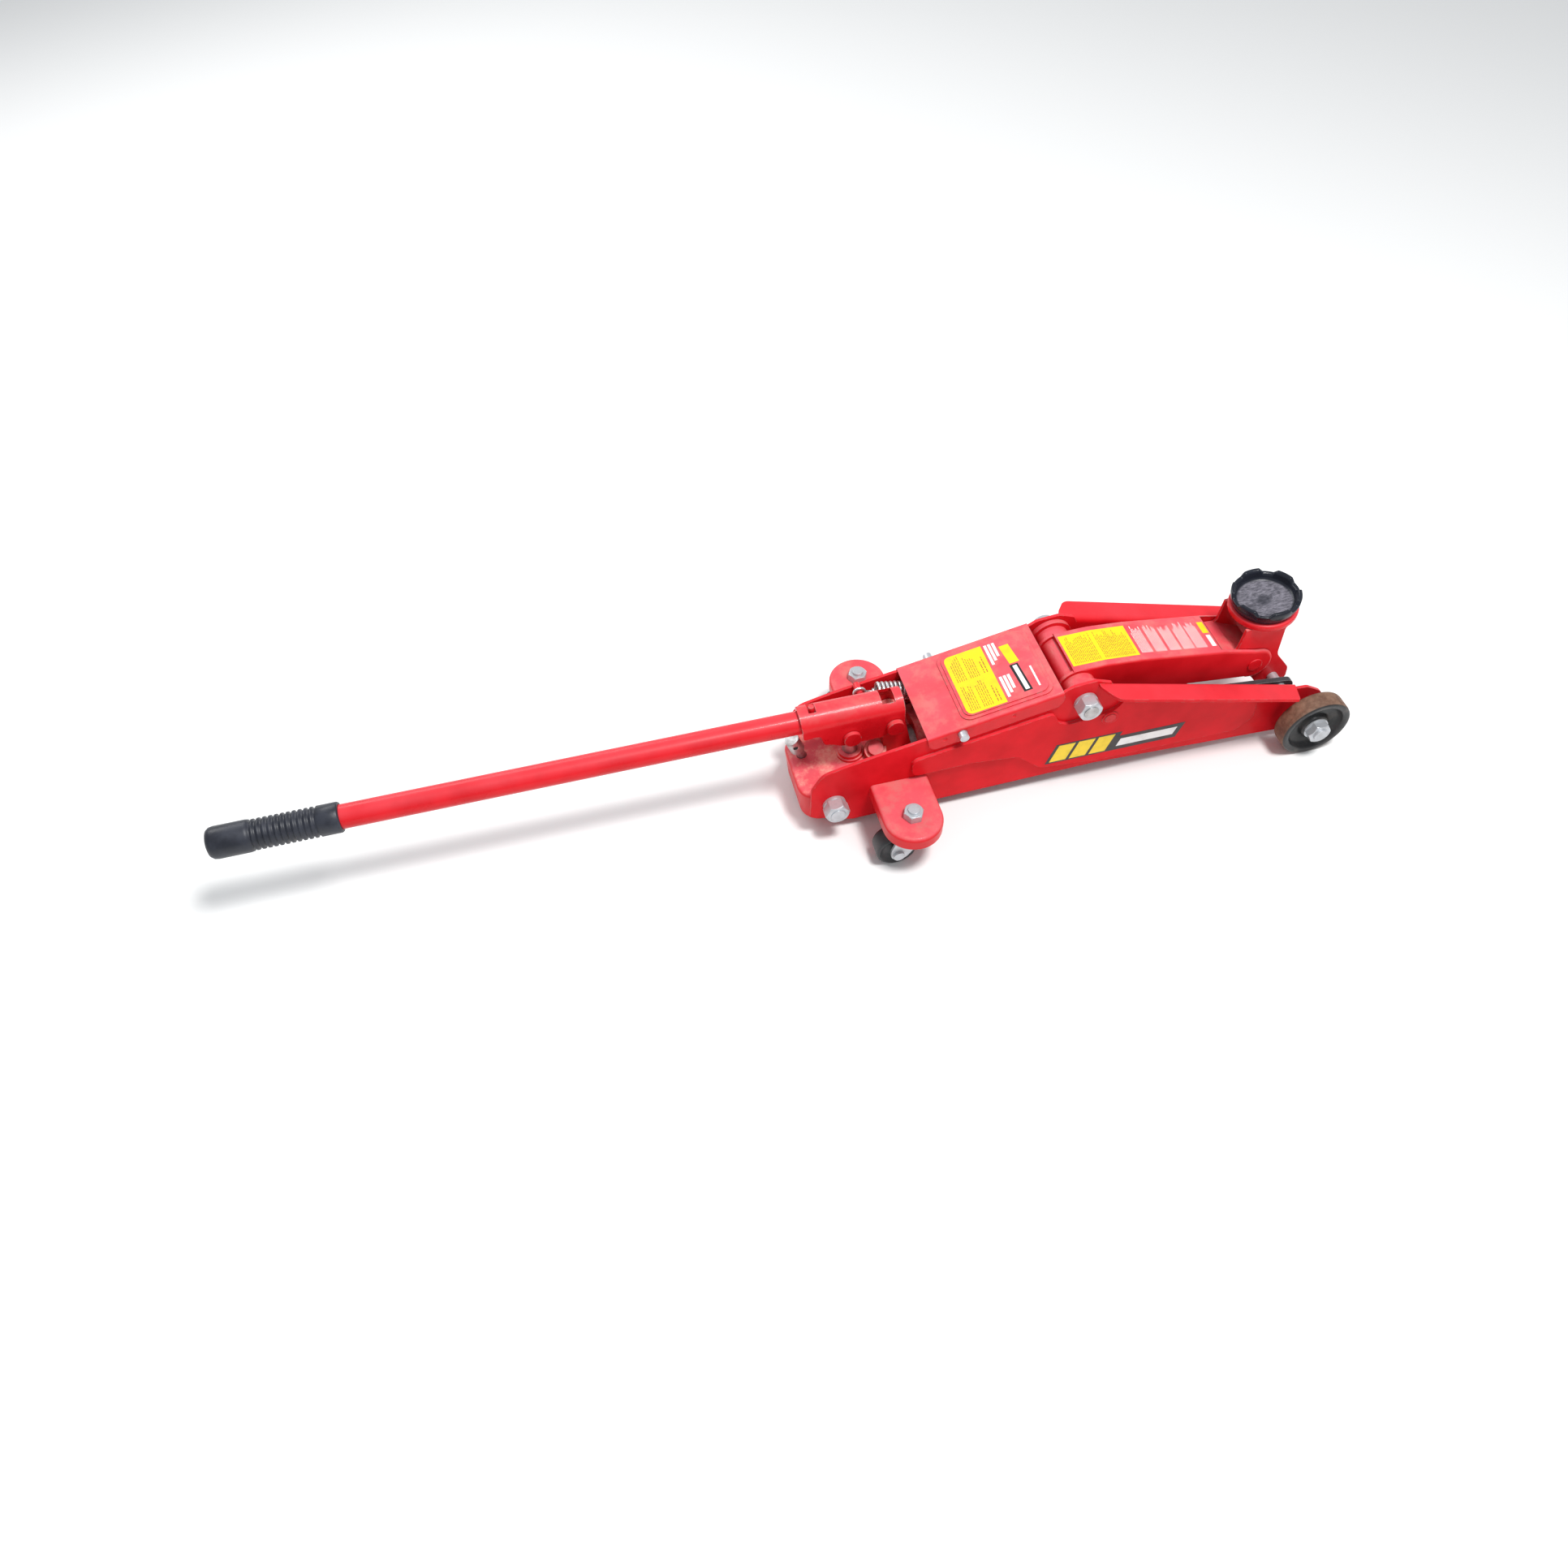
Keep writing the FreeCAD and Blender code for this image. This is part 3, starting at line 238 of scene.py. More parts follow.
def red_paint(name, dust=0.35, grime=0.0, wear=0.6, roughness=0.26, grit=DRY_DUST, chip_width=0.0009,
              shine=0.2):
    """Red enamel, faded and dusty where it faces up, chipped on its edges."""
    material, tree, shader = new_material(name)
    mottle = speckle(tree, 38, detail=5)
    colour = blend_colour(tree, band(tree, mottle, 0.25, 0.75), RED_DEEP, RED_BRIGHT)
    upward = band(tree, facing(tree, 2), 0.35, 0.95)
    faded = times(tree, upward, band(tree, speckle(tree, 22, detail=6), 0.2, 0.75, start=0.55), dust)
    colour = blend_colour(tree, faded, colour, DUSTY_PINK)
    dirt = times(tree, upward, band(tree, speckle(tree, 60, detail=8, roughness=0.7), 0.42, 0.68), grime)
    colour = blend_colour(tree, dirt, colour, grit)
    flakes = band(tree, speckle(tree, 160, detail=6, roughness=0.7), 0.49, 0.56)
    chips = times(tree, edge_mask(tree, chip_width), flakes, wear)
    colour = blend_colour(tree, chips, colour, BARE_METAL)
    tree.links.new(colour, shader.inputs["Base Color"])
    rough = blend_value(tree, band(tree, mottle, 0.3, 0.7), roughness - 0.05, roughness + 0.07)
    rough = blend_value(tree, maths(tree, "MAXIMUM", faded, dirt), rough, DUST_ROUGHNESS)
    tree.links.new(rough, shader.inputs["Roughness"])
    shader.inputs["Specular IOR Level"].default_value = shine
    shader.inputs["Coat Weight"].default_value = shine / 2
    shader.inputs["Coat Roughness"].default_value = 0.1
    orange_peel = speckle(tree, 420, detail=2)
    relief(tree, shader, orange_peel, strength=0.10, distance=0.0004, round_edges=0.0008)
    return material


def plated(name, colour, roughness, stain, metallic=0.85):
    """Zinc or steel with a cloudy, slightly stained surface."""
    material, tree, shader = new_material(name)
    stained = tuple(part * tint for part, tint in zip(colour, STAIN_TINT)) + (1,)
    cloud = band(tree, speckle(tree, 130, detail=6, roughness=0.65), 0.35, 0.7)
    base = blend_colour(tree, times(tree, cloud, stain * 2), colour + (1,), stained)
    base = blend_colour(tree, times(tree, edge_mask(tree, 0.0006), 0.5), base, RUBBED_EDGE)
    tree.links.new(base, shader.inputs["Base Color"])
    tree.links.new(blend_value(tree, cloud, roughness, roughness + 0.18), shader.inputs["Roughness"])
    shader.inputs["Metallic"].default_value = metallic
    relief(tree, shader, speckle(tree, 500), strength=0.15, distance=0.0003, round_edges=0.0006)
    return material


def matte(name, colour, roughness, light=1.7):
    """Rubber or dull black paint: one colour with paler clouds and a fine grain."""
    material, tree, shader = new_material(name)
    pale = tuple(min(1, part * light + 0.01) for part in colour) + (1,)
    cloud = band(tree, speckle(tree, 70, detail=6), 0.35, 0.7)
    tree.links.new(blend_colour(tree, cloud, colour + (1,), pale), shader.inputs["Base Color"])
    tree.links.new(blend_value(tree, cloud, roughness - 0.06, roughness + 0.1), shader.inputs["Roughness"])
    relief(tree, shader, speckle(tree, 600, detail=3), strength=0.2, distance=0.0003, round_edges=0.0006)
    return material


def wheel_iron(name):
    """Cast wheel: black painted faces, brown rusty tread."""
    material, tree, shader = new_material(name)
    patches = band(tree, speckle(tree, 90, detail=8, roughness=0.7), 0.35, 0.68)
    rust = blend_colour(tree, patches, RUST_DARK, RUST_LIGHT)
    rust = blend_colour(tree, band(tree, speckle(tree, 35, detail=5), 0.56, 0.66), rust, TREAD_DIRT)
    black = blend_colour(tree, band(tree, speckle(tree, 80, detail=6), 0.5, 0.72), WHEEL_PAINT, WHEEL_DUST)
    sideways = node(tree, "ShaderNodeMath", {0: facing(tree, 1)}, operation="ABSOLUTE").outputs[0]
    radius = distance_from_axis(tree, (1, 0, 1))
    tread = times(tree, band(tree, radius, TREAD_FROM, TREAD_FULL), band(tree, sideways, 0.75, 0.45))
    tree.links.new(blend_colour(tree, tread, black, rust), shader.inputs["Base Color"])
    tree.links.new(blend_value(tree, tread, 0.38, 0.72), shader.inputs["Roughness"])
    grain = speckle(tree, 260, detail=6, roughness=0.65)
    relief(tree, shader, grain, strength=0.45, distance=0.0006, round_edges=0.0006)
    return material


def saddle_enamel(name):
    """Black enamel, scuffed to grey on the floor of the cup and less so at its middle."""
    material, tree, shader = new_material(name)
    enamel = blend_colour(tree, speckle(tree, 60), ENAMEL_DARK, ENAMEL_LIGHT)
    scratches = speckle(tree, 210, detail=8, roughness=0.75, stretch=(1, 3, 1))
    scuffs = blend_colour(tree, band(tree, scratches, 0.35, 0.68), SCUFF_DARK, SCUFF_LIGHT)
    radius = distance_from_axis(tree, (1, 1, 0))
    worn = times(tree, band(tree, facing(tree, 2), 0.6, 0.9),
                 band(tree, radius, CUP_EDGE, CUP_FLOOR),
                 band(tree, speckle(tree, 55, detail=7, roughness=0.65), 0.28, 0.52, start=0.35),
                 band(tree, radius, CUP_DIMPLE, CUP_RING, start=0.35))
    tree.links.new(blend_colour(tree, worn, enamel, scuffs), shader.inputs["Base Color"])
    tree.links.new(blend_value(tree, worn, 0.24, 0.6), shader.inputs["Roughness"])
    shader.inputs["Specular IOR Level"].default_value = 0.3
    grain = speckle(tree, 230, detail=7, roughness=0.7)
    relief(tree, shader, grain, strength=0.22, distance=0.0004, round_edges=0.0006)
    return material


def print_ink(name, colour):
    """Printed film: nearly even colour with faint wear."""
    material, tree, shader = new_material(name)
    worn = tuple(part * INK_WEAR for part in colour) + (1,)
    cloud = band(tree, speckle(tree, 90, detail=6, roughness=0.65), 0.4, 0.75)
    rough = blend_value(tree, cloud, INK_ROUGHNESS - 0.06, INK_ROUGHNESS + 0.12)
    tree.links.new(blend_colour(tree, cloud, colour + (1,), worn), shader.inputs["Base Color"])
    tree.links.new(rough, shader.inputs["Roughness"])
    return material


def make_materials():
    return {
        "red_paint": red_paint("red_paint"),
        "red_dusty": red_paint("red_dusty", dust=0.85, grime=0.35, wear=0.9, roughness=0.36),
        "red_casting": red_paint("red_casting", dust=1.0, grime=0.9, wear=0.8, roughness=0.42,
                                 grit=CASTING_DUST),
        "red_chipped": red_paint("red_chipped", dust=0.45, grime=0.25, wear=1.0, roughness=0.28,
                                 chip_width=0.0016),
        "red_side": red_paint("red_side", dust=0.3, roughness=0.36, shine=0.07),
        "zinc": plated("zinc", (0.58, 0.60, 0.63), 0.30, stain=0.2, metallic=0.55),
        "steel": plated("steel", (0.50, 0.50, 0.50), 0.32, stain=0.35),
        "spring_wire": plated("spring_wire", (0.72, 0.73, 0.74), 0.24, stain=0.15),
        "dark_steel": plated("dark_steel", (0.055, 0.055, 0.06), 0.55, stain=0.35, metallic=0.35),
        "black_saddle": saddle_enamel("black_saddle"),
        "wheel_black": wheel_iron("wheel_black"),
        "caster_black": matte("caster_black", (0.022, 0.022, 0.024), 0.45),
        "grip_rubber": matte("grip_rubber", (0.010, 0.012, 0.020), 0.42, light=1.8),
        "seal_rubber": matte("seal_rubber", (0.015, 0.015, 0.015), 0.6),
        "label_yellow": print_ink("label_yellow", (0.93, 0.66, 0.006)),
        "label_white": print_ink("label_white", (0.86, 0.85, 0.84)),
        "label_black": print_ink("label_black", (0.012, 0.012, 0.014)),
        "label_brown": print_ink("label_brown", (0.42, 0.17, 0.02)),
    }


REPAINTED = {                              # the CAD nodes that get a red of their own
    "red_dusty": ("top_cover", "arm_pivot_tube", "lift_arm", "caster_bracket_left", "caster_bracket_right",
                  "saddle_bracket", "thrust_collars", "filler_plug"),
    "red_chipped": ("handle_socket", "socket_pin", "pump_pin", "handle_lock_pin"),
    "red_side": ("side_plate_left", "side_plate_right"),
}


def dress_cad_nodes(materials):
    """Every CAD node gets the material of its slot in the record, or the red named for it above."""
    for part in frame["record"]["subparts"]:
        name, look = part["node"], part["material_slot"]
        for red, names in REPAINTED.items():
            if name in names:
                look = red
        for holder in frame["nodes"][name].material_slots:
            holder.material = materials[look]


# ---------------------------------------------------------------- places taken from the frame
def middle(name):
    low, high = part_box(name)
    return (low + high) / 2


def joint_row(name):
    for joint in frame["record"]["behaviour"]["joints"]:
        if joint["name"] == name:
            return joint


def joint_axis(name):
    return Vector(joint_row(name)["axis"]).normalized()


def joint_place(name):
    return Vector(joint_row(name)["pos_m"])


def reaches(name, base, axis):
    """How far each point of a CAD node lies along an axis from a place."""
    return [(Vector(point.co) - base).dot(axis) for point in frame["nodes"][name].data.vertices]


SHAFT_AT = middle("main_shaft")
FORWARD = joint_axis("ram_stroke")
UP = joint_axis("plunger_slide")
OUT = Vector((0, 1, 0))
ARM_PIN_AT = middle("saddle_bracket_pin")


def on_chassis(along, out, up):
    return SHAFT_AT + (FORWARD * along + OUT * out + UP * up) * MM


def turned_to(axis, at):
    """Matrix that stands a piece drawn on Z upright on an axis at a place."""
    turn = Vector((0, 0, 1)).rotation_difference(Vector(axis)).to_matrix().to_4x4()
    return Matrix.Translation(at) @ turn


# ---------------------------------------------------------------- mesh tools
def mesh_piece(name, mesh, material, body, at=None):
    piece = bpy.data.objects.new(name, mesh)
    bpy.context.collection.objects.link(piece)
    piece.data.materials.append(material)
    if at is not None:
        piece.matrix_world = at
    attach(piece, body)
    return piece


def finished_mesh(name, made):
    bmesh.ops.recalc_face_normals(made, faces=made.faces)
    mesh = bpy.data.meshes.new(name)
    made.to_mesh(mesh)
    made.free()
    return mesh


def lathe(name, profile, segments, shape=None):
    """Closed surface of revolution about Z from (radius, height) points in millimetres.

    shape(angle, index, radius, height) may move each point, which makes lobes.
    """
    made = bmesh.new()
    rings = []
    for index, (radius, height) in enumerate(profile):
        if radius == 0:
            rings.append([made.verts.new((0, 0, height * MM))])
            continue
        ring = []
        for k in range(segments):
            angle = 2 * math.pi * k / segments
            r, z = shape(angle, index, radius, height) if shape else (radius, height)
            ring.append(made.verts.new((r * MM * math.cos(angle), r * MM * math.sin(angle), z * MM)))
        rings.append(ring)
    pairs = list(zip(rings, rings[1:]))
    if profile[0][0] and profile[-1][0]:
        pairs.append((rings[-1], rings[0]))
    for lower, upper in pairs:
        for k in range(segments):
            after = (k + 1) % segments
            corners = [lower[k % len(lower)], lower[after % len(lower)], upper[after % len(upper)],
                       upper[k % len(upper)]]
            made.faces.new(list(dict.fromkeys(corners)))
    for face in made.faces:
        face.smooth = True
    return finished_mesh(name, made)


# ---------------------------------------------------------------- saddle
SADDLE_STEM = 27.0                         # the stem's end, below the profile's zero
SADDLE_RIM = 12.5                          # top of the rim, above the profile's zero
SADDLE_CUP = [(0, -SADDLE_STEM), (5.3, -SADDLE_STEM), (5.3, 0.1), (24.0, 0.1), (25.6, 1.2), (26.6, 4.5),
              (27.4, 8.0), (27.5, 11.0), (27.1, 12.3), (25.9, SADDLE_RIM), (24.9, 11.9), (24.2, 9.5),
              (23.6, 6.2), (22.6, 4.2), (20.5, 3.5), (14.0, 3.3), (8.5, 3.2), (7.0, 2.6), (3.0, 2.4),
              (0, 2.4)]
SADDLE_SEGMENTS = 288
RIM_POINTS = (7, 8, 9, 10, 11)             # points of the profile that dip between the lobes
INNER_RIM_POINTS = (10, 11)
LOWEST_RIM_POINT, LOWEST_RIM_SHARE = 11, 0.4           # it dips by only this share of the others' dip
LOBES = 6
LOBE_START = math.radians(12)
LOBE_SHARE = 0.58                          # part of each sixth of the rim that stands up
LOBE_SLOPE = 0.06                          # half the width of a lobe's sloping end, as such a part
LOBE_DROP = 3.2                            # how far the rim dips between lobes
LOBE_LEAN = 0.7                            # how far the inner side of a lobe leans in


def lobe(angle):
    """1 on a raised lobe, 0 in the dip between two."""
    share = (angle - LOBE_START) * LOBES / (2 * math.pi) % 1.0
    edge = min(share, 1.0 - share, abs(share - LOBE_SHARE))
    side = 1.0 if share < LOBE_SHARE else -1.0
    return 0.5 + 0.5 * side * min(edge / LOBE_SLOPE, 1.0)


def saddle_rim(angle, index, radius, height):
    if index not in RIM_POINTS:
        return radius, height
    raised = lobe(angle)
    share = LOWEST_RIM_SHARE if index == LOWEST_RIM_POINT else 1.0
    inward = LOBE_LEAN * raised if index in INNER_RIM_POINTS else 0.0
    return radius - inward, height - LOBE_DROP * (1 - raised) * share


def add_saddle(materials):
    """The cup's rim is level with the top of the CAD saddle."""
    axis = joint_axis("saddle_swivel")
    base = joint_place("saddle_swivel")
    top = max(reaches("saddle", base, axis))
    mesh = lathe("saddle_cup", SADDLE_CUP, SADDLE_SEGMENTS, saddle_rim)
    piece = mesh_piece("saddle_cup", mesh, materials["black_saddle"], "saddle",
                       turned_to(axis, base + axis * (top - SADDLE_RIM * MM)))
    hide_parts("saddle")


# ---------------------------------------------------------------- handle grip
GRIP_LENGTH, GRIP_RADIUS = 96.5, 12.5
GRIP_BORE, GRIP_WALL = 9.6, 6.0            # radius of the hole for the tube, and the height of its closed end
GRIP_RIBS = 11
RIB_START, RIB_PITCH = 33.0, 4.26
RIB_RADIUS, GROOVE_RADIUS = 11.9, 10.6
GRIP_SEGMENTS = 72


def grip_profile():
    """Rubber grip from its closed rear end to its front collar, and back along its bore."""
    points = [(0, 0.1), (7.5, 0.1), (10.4, 1.1), (12.0, 3.2), (GRIP_RADIUS, 6.0), (GRIP_RADIUS, 29.0),
              (12.1, 31.2), (GROOVE_RADIUS, 32.2)]
    for rib in range(GRIP_RIBS):
        x = RIB_START + RIB_PITCH * rib
        points += [(GROOVE_RADIUS, x), (RIB_RADIUS, x + 0.7), (RIB_RADIUS, x + 2.0), (GROOVE_RADIUS, x + 2.7)]
    front = RIB_START + RIB_PITCH * GRIP_RIBS
    points += [(GROOVE_RADIUS, front), (RIB_RADIUS, front + 0.8), (RIB_RADIUS, GRIP_LENGTH - 1.4),
               (11.2, GRIP_LENGTH - 0.2), (GRIP_BORE, GRIP_LENGTH), (GRIP_BORE, GRIP_WALL), (0, GRIP_WALL)]
    return points


def add_grip(materials):
    axis = joint_axis("handle_twist")
    base = joint_place("handle_twist")
    rear = min(reaches("handle_grip", base, axis))
    mesh = lathe("ribbed_grip", grip_profile(), GRIP_SEGMENTS)
    piece = mesh_piece("ribbed_grip", mesh, materials["grip_rubber"], "handle",
                       turned_to(axis, base + axis * rear))
    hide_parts("handle_grip")


# ---------------------------------------------------------------- wheels
FRONT_WHEEL = [(6.1, 14.0), (10.8, 14.0), (12.0, 12.8), (12.6, 9.6), (14.2, 8.7), (20.6, 9.2), (22.6, 10.6),
               (23.9, 14.6), (24.7, 15.9), (28.4, 16.4), (29.8, 15.6), (30.15, 13.8), (30.15, 2.6),
               (29.8, 0.9), (28.5, 0.1), (24.6, 0.1), (23.0, 3.6), (14.2, 4.6), (12.0, 0.5), (6.1, 0.5)]
CASTER_WHEEL = [(3.2, 9.0), (5.9, 9.0), (6.4, 7.2), (9.0, 5.2), (13.0, 5.4), (14.2, 7.8), (15.6, 8.0),
                (16.5, 7.0), (16.7, 5.2), (16.7, -5.2), (16.5, -7.0), (15.6, -8.0), (14.2, -7.8),
                (13.0, -5.4), (9.0, -5.2), (6.4, -7.2), (5.9, -9.0), (3.2, -9.0)]
FRONT_SEGMENTS, CASTER_SEGMENTS = 128, 96


def add_front_wheel(materials, side, sign):
    """The profile's heights are measured outwards from the wheel's inner face."""
    low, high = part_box("front_wheel_" + side)
    inner = low.y if sign > 0 else high.y
    at = Vector(((low.x + high.x) / 2, inner, (low.z + high.z) / 2))
    mesh = lathe("wheel_" + side, FRONT_WHEEL, FRONT_SEGMENTS)
    mesh.transform(Matrix.Rotation(math.radians(-90 * sign), 4, "X"))
    piece = mesh_piece("wheel_" + side, mesh, materials["wheel_black"], "front_wheel_" + side,
                       Matrix.Translation(at))
    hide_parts("front_wheel_" + side)


def add_caster_wheel(materials, side):
    mesh = lathe("caster_roller_" + side, CASTER_WHEEL, CASTER_SEGMENTS)
    mesh.transform(Matrix.Rotation(math.radians(90), 4, "X"))
    piece = mesh_piece("caster_roller_" + side, mesh, materials["caster_black"], "caster_wheel_" + side,
                       Matrix.Translation(middle("caster_wheel_" + side)))
    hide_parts("caster_wheel_" + side)


def add_wheels(materials):
    for side, sign in (("left", 1), ("right", -1)):
        add_front_wheel(materials, side, sign)
        add_caster_wheel(materials, side)


# ---------------------------------------------------------------- return spring
WIRE = 1.4                                 # radius of the wire
COIL = 6.9                                 # radius of the coil's centre line
TURNS, TURN_STEPS = 16, 16
EASE_STEPS = 12                            # steps in which the coil widens or narrows at an end
COIL_START, COIL_END = 12.0, 71.6
ANCHOR_HOOK, PIN_HOOK = 4.4, 6.0           # radii of the hooks' centre lines
ANCHOR_HOOK_TURN = (210, -200)             # degrees: the first angle, and how far round
PIN_HOOK_TURN = (180, 200)
HOOK_STEPS = 13


def spring_line(start, end):
    """Centre line of the spring: a hook, the coils, a straight wire and a hook."""
    way = (end - start).normalized()
    rise = way.cross(OUT).normalized()
    length = (end - start).length / MM

    def at(along, up, out=0.0):
        return start + (way * along + rise * up + OUT * out) * MM

    def hook(centre, radius, turn):
        first, sweep = turn
        angles = [math.radians(first + sweep * k / HOOK_STEPS) for k in range(HOOK_STEPS + 1)]
        return [at(centre + radius * math.cos(angle), radius * math.sin(angle)) for angle in angles]

    points = hook(0, ANCHOR_HOOK, ANCHOR_HOOK_TURN)
    steps = TURN_STEPS * TURNS
    for k in range(steps + 1):
        angle = 2 * math.pi * k / TURN_STEPS
        radius = COIL * min(1.0, k / EASE_STEPS, (steps - k) / EASE_STEPS)
        along = COIL_START + (COIL_END - COIL_START) * k / steps
        points.append(at(along, radius * math.cos(angle), radius * math.sin(angle)))
    return points + hook(length, PIN_HOOK, PIN_HOOK_TURN)


def wire_mesh(line):
    """Round wire along a line of points."""
    curve = bpy.data.curves.new("spring_wire", "CURVE")
    curve.dimensions = "3D"
    curve.bevel_depth = WIRE * MM
    curve.bevel_resolution = 4
    curve.use_fill_caps = True
    spline = curve.splines.new("POLY")
    spline.points.add(len(line) - 1)
    for point, place in zip(spline.points, line):
        point.co = (*place, 1)
    wire = bpy.data.objects.new("wire", curve)
    bpy.context.collection.objects.link(wire)
    graph = bpy.context.evaluated_depsgraph_get()
    mesh = bpy.data.meshes.new_from_object(wire.evaluated_get(graph))
    bpy.data.objects.remove(wire)
    for face in mesh.polygons:
        face.use_smooth = True
    return mesh


def add_spring(materials):
    """The wire runs from the spring anchor to the ram pin, where the CAD spring lies across the jack."""
    start, end = middle("spring_anchor"), middle("ram_pin")
    start.y = end.y = middle("return_spring").y
    mesh = wire_mesh(spring_line(start, end))
    piece = bpy.data.objects.new("spring_coils", mesh)
    bpy.context.collection.objects.link(piece)
    mesh.materials.clear()
    mesh.materials.append(materials["spring_wire"])
    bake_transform(piece)
    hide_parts("return_spring")


# ---------------------------------------------------------------- printed films
FILM = 0.12                                # top of a printed film, above the sheet
TOP_FILM = 0.2                             # top of a film printed on another
FILM_ROOT = -0.1                           # a film's underside, inside the sheet
COVER_REAR_EDGE = (-131.3, 6.3)            # the cover's top at its rear edge, along and up
COVER_SLOPE = math.radians(6.26)
PANEL_RISE = 1.8                           # the raised panel, above the cover's sheet
ARM_TOP = ((-7.4, 17.2), (21.3, 21.3), (53.2, 22.4), (127.7, 19.8))        # the bent top: forward, up
SIDE_PANEL_FACE = 42.6                     # the pressed panel's face, out from the middle


def on_cover(u, v, lift):
    """Point on the cover's raised panel: u forward from the rear edge, v to the left."""
    height = PANEL_RISE + lift
    along = COVER_REAR_EDGE[0] + u * math.cos(COVER_SLOPE) - height * math.sin(COVER_SLOPE)
    up = COVER_REAR_EDGE[1] + u * math.sin(COVER_SLOPE) + height * math.cos(COVER_SLOPE)
    return on_chassis(along, v, up)


def on_arm(u, v, lift):
    """Point on top of the lift arm: u forward from the main shaft, v to the left."""
    way = (ARM_PIN_AT - SHAFT_AT).normalized()
    rise = OUT.cross(way) * -1
    for (u0, h0), (u1, h1) in zip(ARM_TOP, ARM_TOP[1:]):
        if u <= u1:
            break
    height = h0 + (h1 - h0) * (u - u0) / (u1 - u0) + lift
    return SHAFT_AT + (way * u + OUT * v + rise * height) * MM


def on_panel(side):
    """Function that gives a point on a side plate's pressed panel: u forward and v up from the main shaft."""
    sign = 1 if side == "left" else -1

    def place(u, v, lift):
        return on_chassis(u, sign * (SIDE_PANEL_FACE + lift), v)
    return place


def part_way(first, last, share):
    return (first[0] + (last[0] - first[0]) * share, first[1] + (last[1] - first[1]) * share)


def printed(name, body, place, patches, material, lift=FILM, slices=1):
    """Thin film made of four-cornered patches ((u, v) corners in order) on a surface."""
    made = bmesh.new()
    for a, b, c, d in patches:
        columns = []
        for k in range(slices + 1):
            low, high = part_way(a, b, k / slices), part_way(d, c, k / slices)
            outline = ((low, FILM_ROOT), (high, FILM_ROOT), (high, lift), (low, lift))
            columns.append([made.verts.new(place(*spot, height)) for spot, height in outline])
        for near, far in zip(columns, columns[1:]):
            for k in range(4):
                made.faces.new([near[k], near[(k + 1) % 4], far[(k + 1) % 4], far[k]])
        made.faces.new(columns[0])
        made.faces.new(columns[-1][::-1])
    return mesh_piece(name, finished_mesh(name, made), material, body)


def patch(u0, u1, v0, v1, skew=0.0):
    return ((u0, v0), (u1, v0), (u1 + skew, v1), (u0 + skew, v1))


SHORTEST_WORD, LONGEST_WORD, WORD_GAP = 1.6, 4.6, 0.8
EMPTY_SHARE = 0.28                         # the most of a line that may stay empty at its end


def rows(u0, u1, v0, v1, pitch, height, seed):
    """Blank bars that stand for lines of small print: rows across the jack, stacked along it."""
    draw = random.Random(seed)
    bars = []
    u = u0
    while u + height <= u1:
        v = v0
        end = v1 - draw.uniform(0, EMPTY_SHARE) * (v1 - v0)
        while v < end:
            word = draw.uniform(SHORTEST_WORD, LONGEST_WORD)
            bars.append(patch(u, u + height, v, min(v + word, end)))
            v += word + WORD_GAP
        u += pitch
    return bars


def rounded_block(u0, u1, v0, v1, radius, steps=6):
    """Rectangle with rounded rear corners, as strips across it."""
    strips = []
    for k in range(steps):
        near, far = radius * k / steps, radius * (k + 1) / steps
        inset = [radius - math.sqrt(radius ** 2 - (radius - x) ** 2) for x in (near, far)]
        strips.append(((u0 + near, v0 + inset[0]), (u0 + far, v0 + inset[1]), (u0 + far, v1 - inset[1]),
                       (u0 + near, v1 - inset[0])))
    strips.append(patch(u0 + radius, u1, v0, v1))
    return strips


# Places on the cover and the arm are u0, u1, v0, v1, with a skew after them where the shape slants.
COVER_LABEL, COVER_LABEL_CORNER = (37.0, 69.5, -32.0, 31.0), 5.0
SMALL_COLUMNS = ((-29.5, -2.0, 1), (2.0, 29.0, 2))                         # v0, v1, seed
SMALL_BLOCKS = ((40.5, 49.5, 0), (51.5, 60.5, 10))                         # u0, u1, added to the seed
SMALL_PITCH, SMALL_HEIGHT = 1.75, 0.55
FOOT_BLOCK, FOOT_SEED = (63.0, 68.0), 20                                   # u0 and u1; added to the seed
FOOT_SPAN = (1, 19)                                                        # counted from the column's v0
FOOT_PITCH, FOOT_HEIGHT = 2.4, 0.8
TITLE_COLUMNS = ((-28.0, -6.0), (8.0, 30.0))
TITLE_LINES, TITLE_START, TITLE_PITCH = 3, 71.6, 3.3
TITLE_HEIGHT, TITLE_INDENT = 2.3, 3.5
COVER_LINE = (97.5, 99.0, -27.0, -5.0)
COVER_STRIPE_BLACK = (85.0, 92.0, -28.0, 2.0, -1.5)
COVER_STRIPE_WHITE = (86.8, 90.2, -26.5, 0.5, -1.2)
COVER_STRIPE_YELLOW = (84.5, 92.5, 3.5, 24.0, -2.0)


def cover_small_print():
    bars = []
    for v0, v1, seed in SMALL_COLUMNS:
        for u0, u1, added in SMALL_BLOCKS:
            bars += rows(u0, u1, v0, v1, SMALL_PITCH, SMALL_HEIGHT, seed + added)
        span = (v0 + FOOT_SPAN[0], v0 + FOOT_SPAN[1])
        bars += rows(*FOOT_BLOCK, *span, FOOT_PITCH, FOOT_HEIGHT, seed + FOOT_SEED)
    return bars


def cover_title_bars():
    bars = []
    for v0, v1 in TITLE_COLUMNS:
        for row in range(TITLE_LINES):
            u = TITLE_START + TITLE_PITCH * row
            bars.append(patch(u, u + TITLE_HEIGHT, v0 + TITLE_INDENT * row, v1))
    bars.append(patch(*COVER_LINE))
    return bars


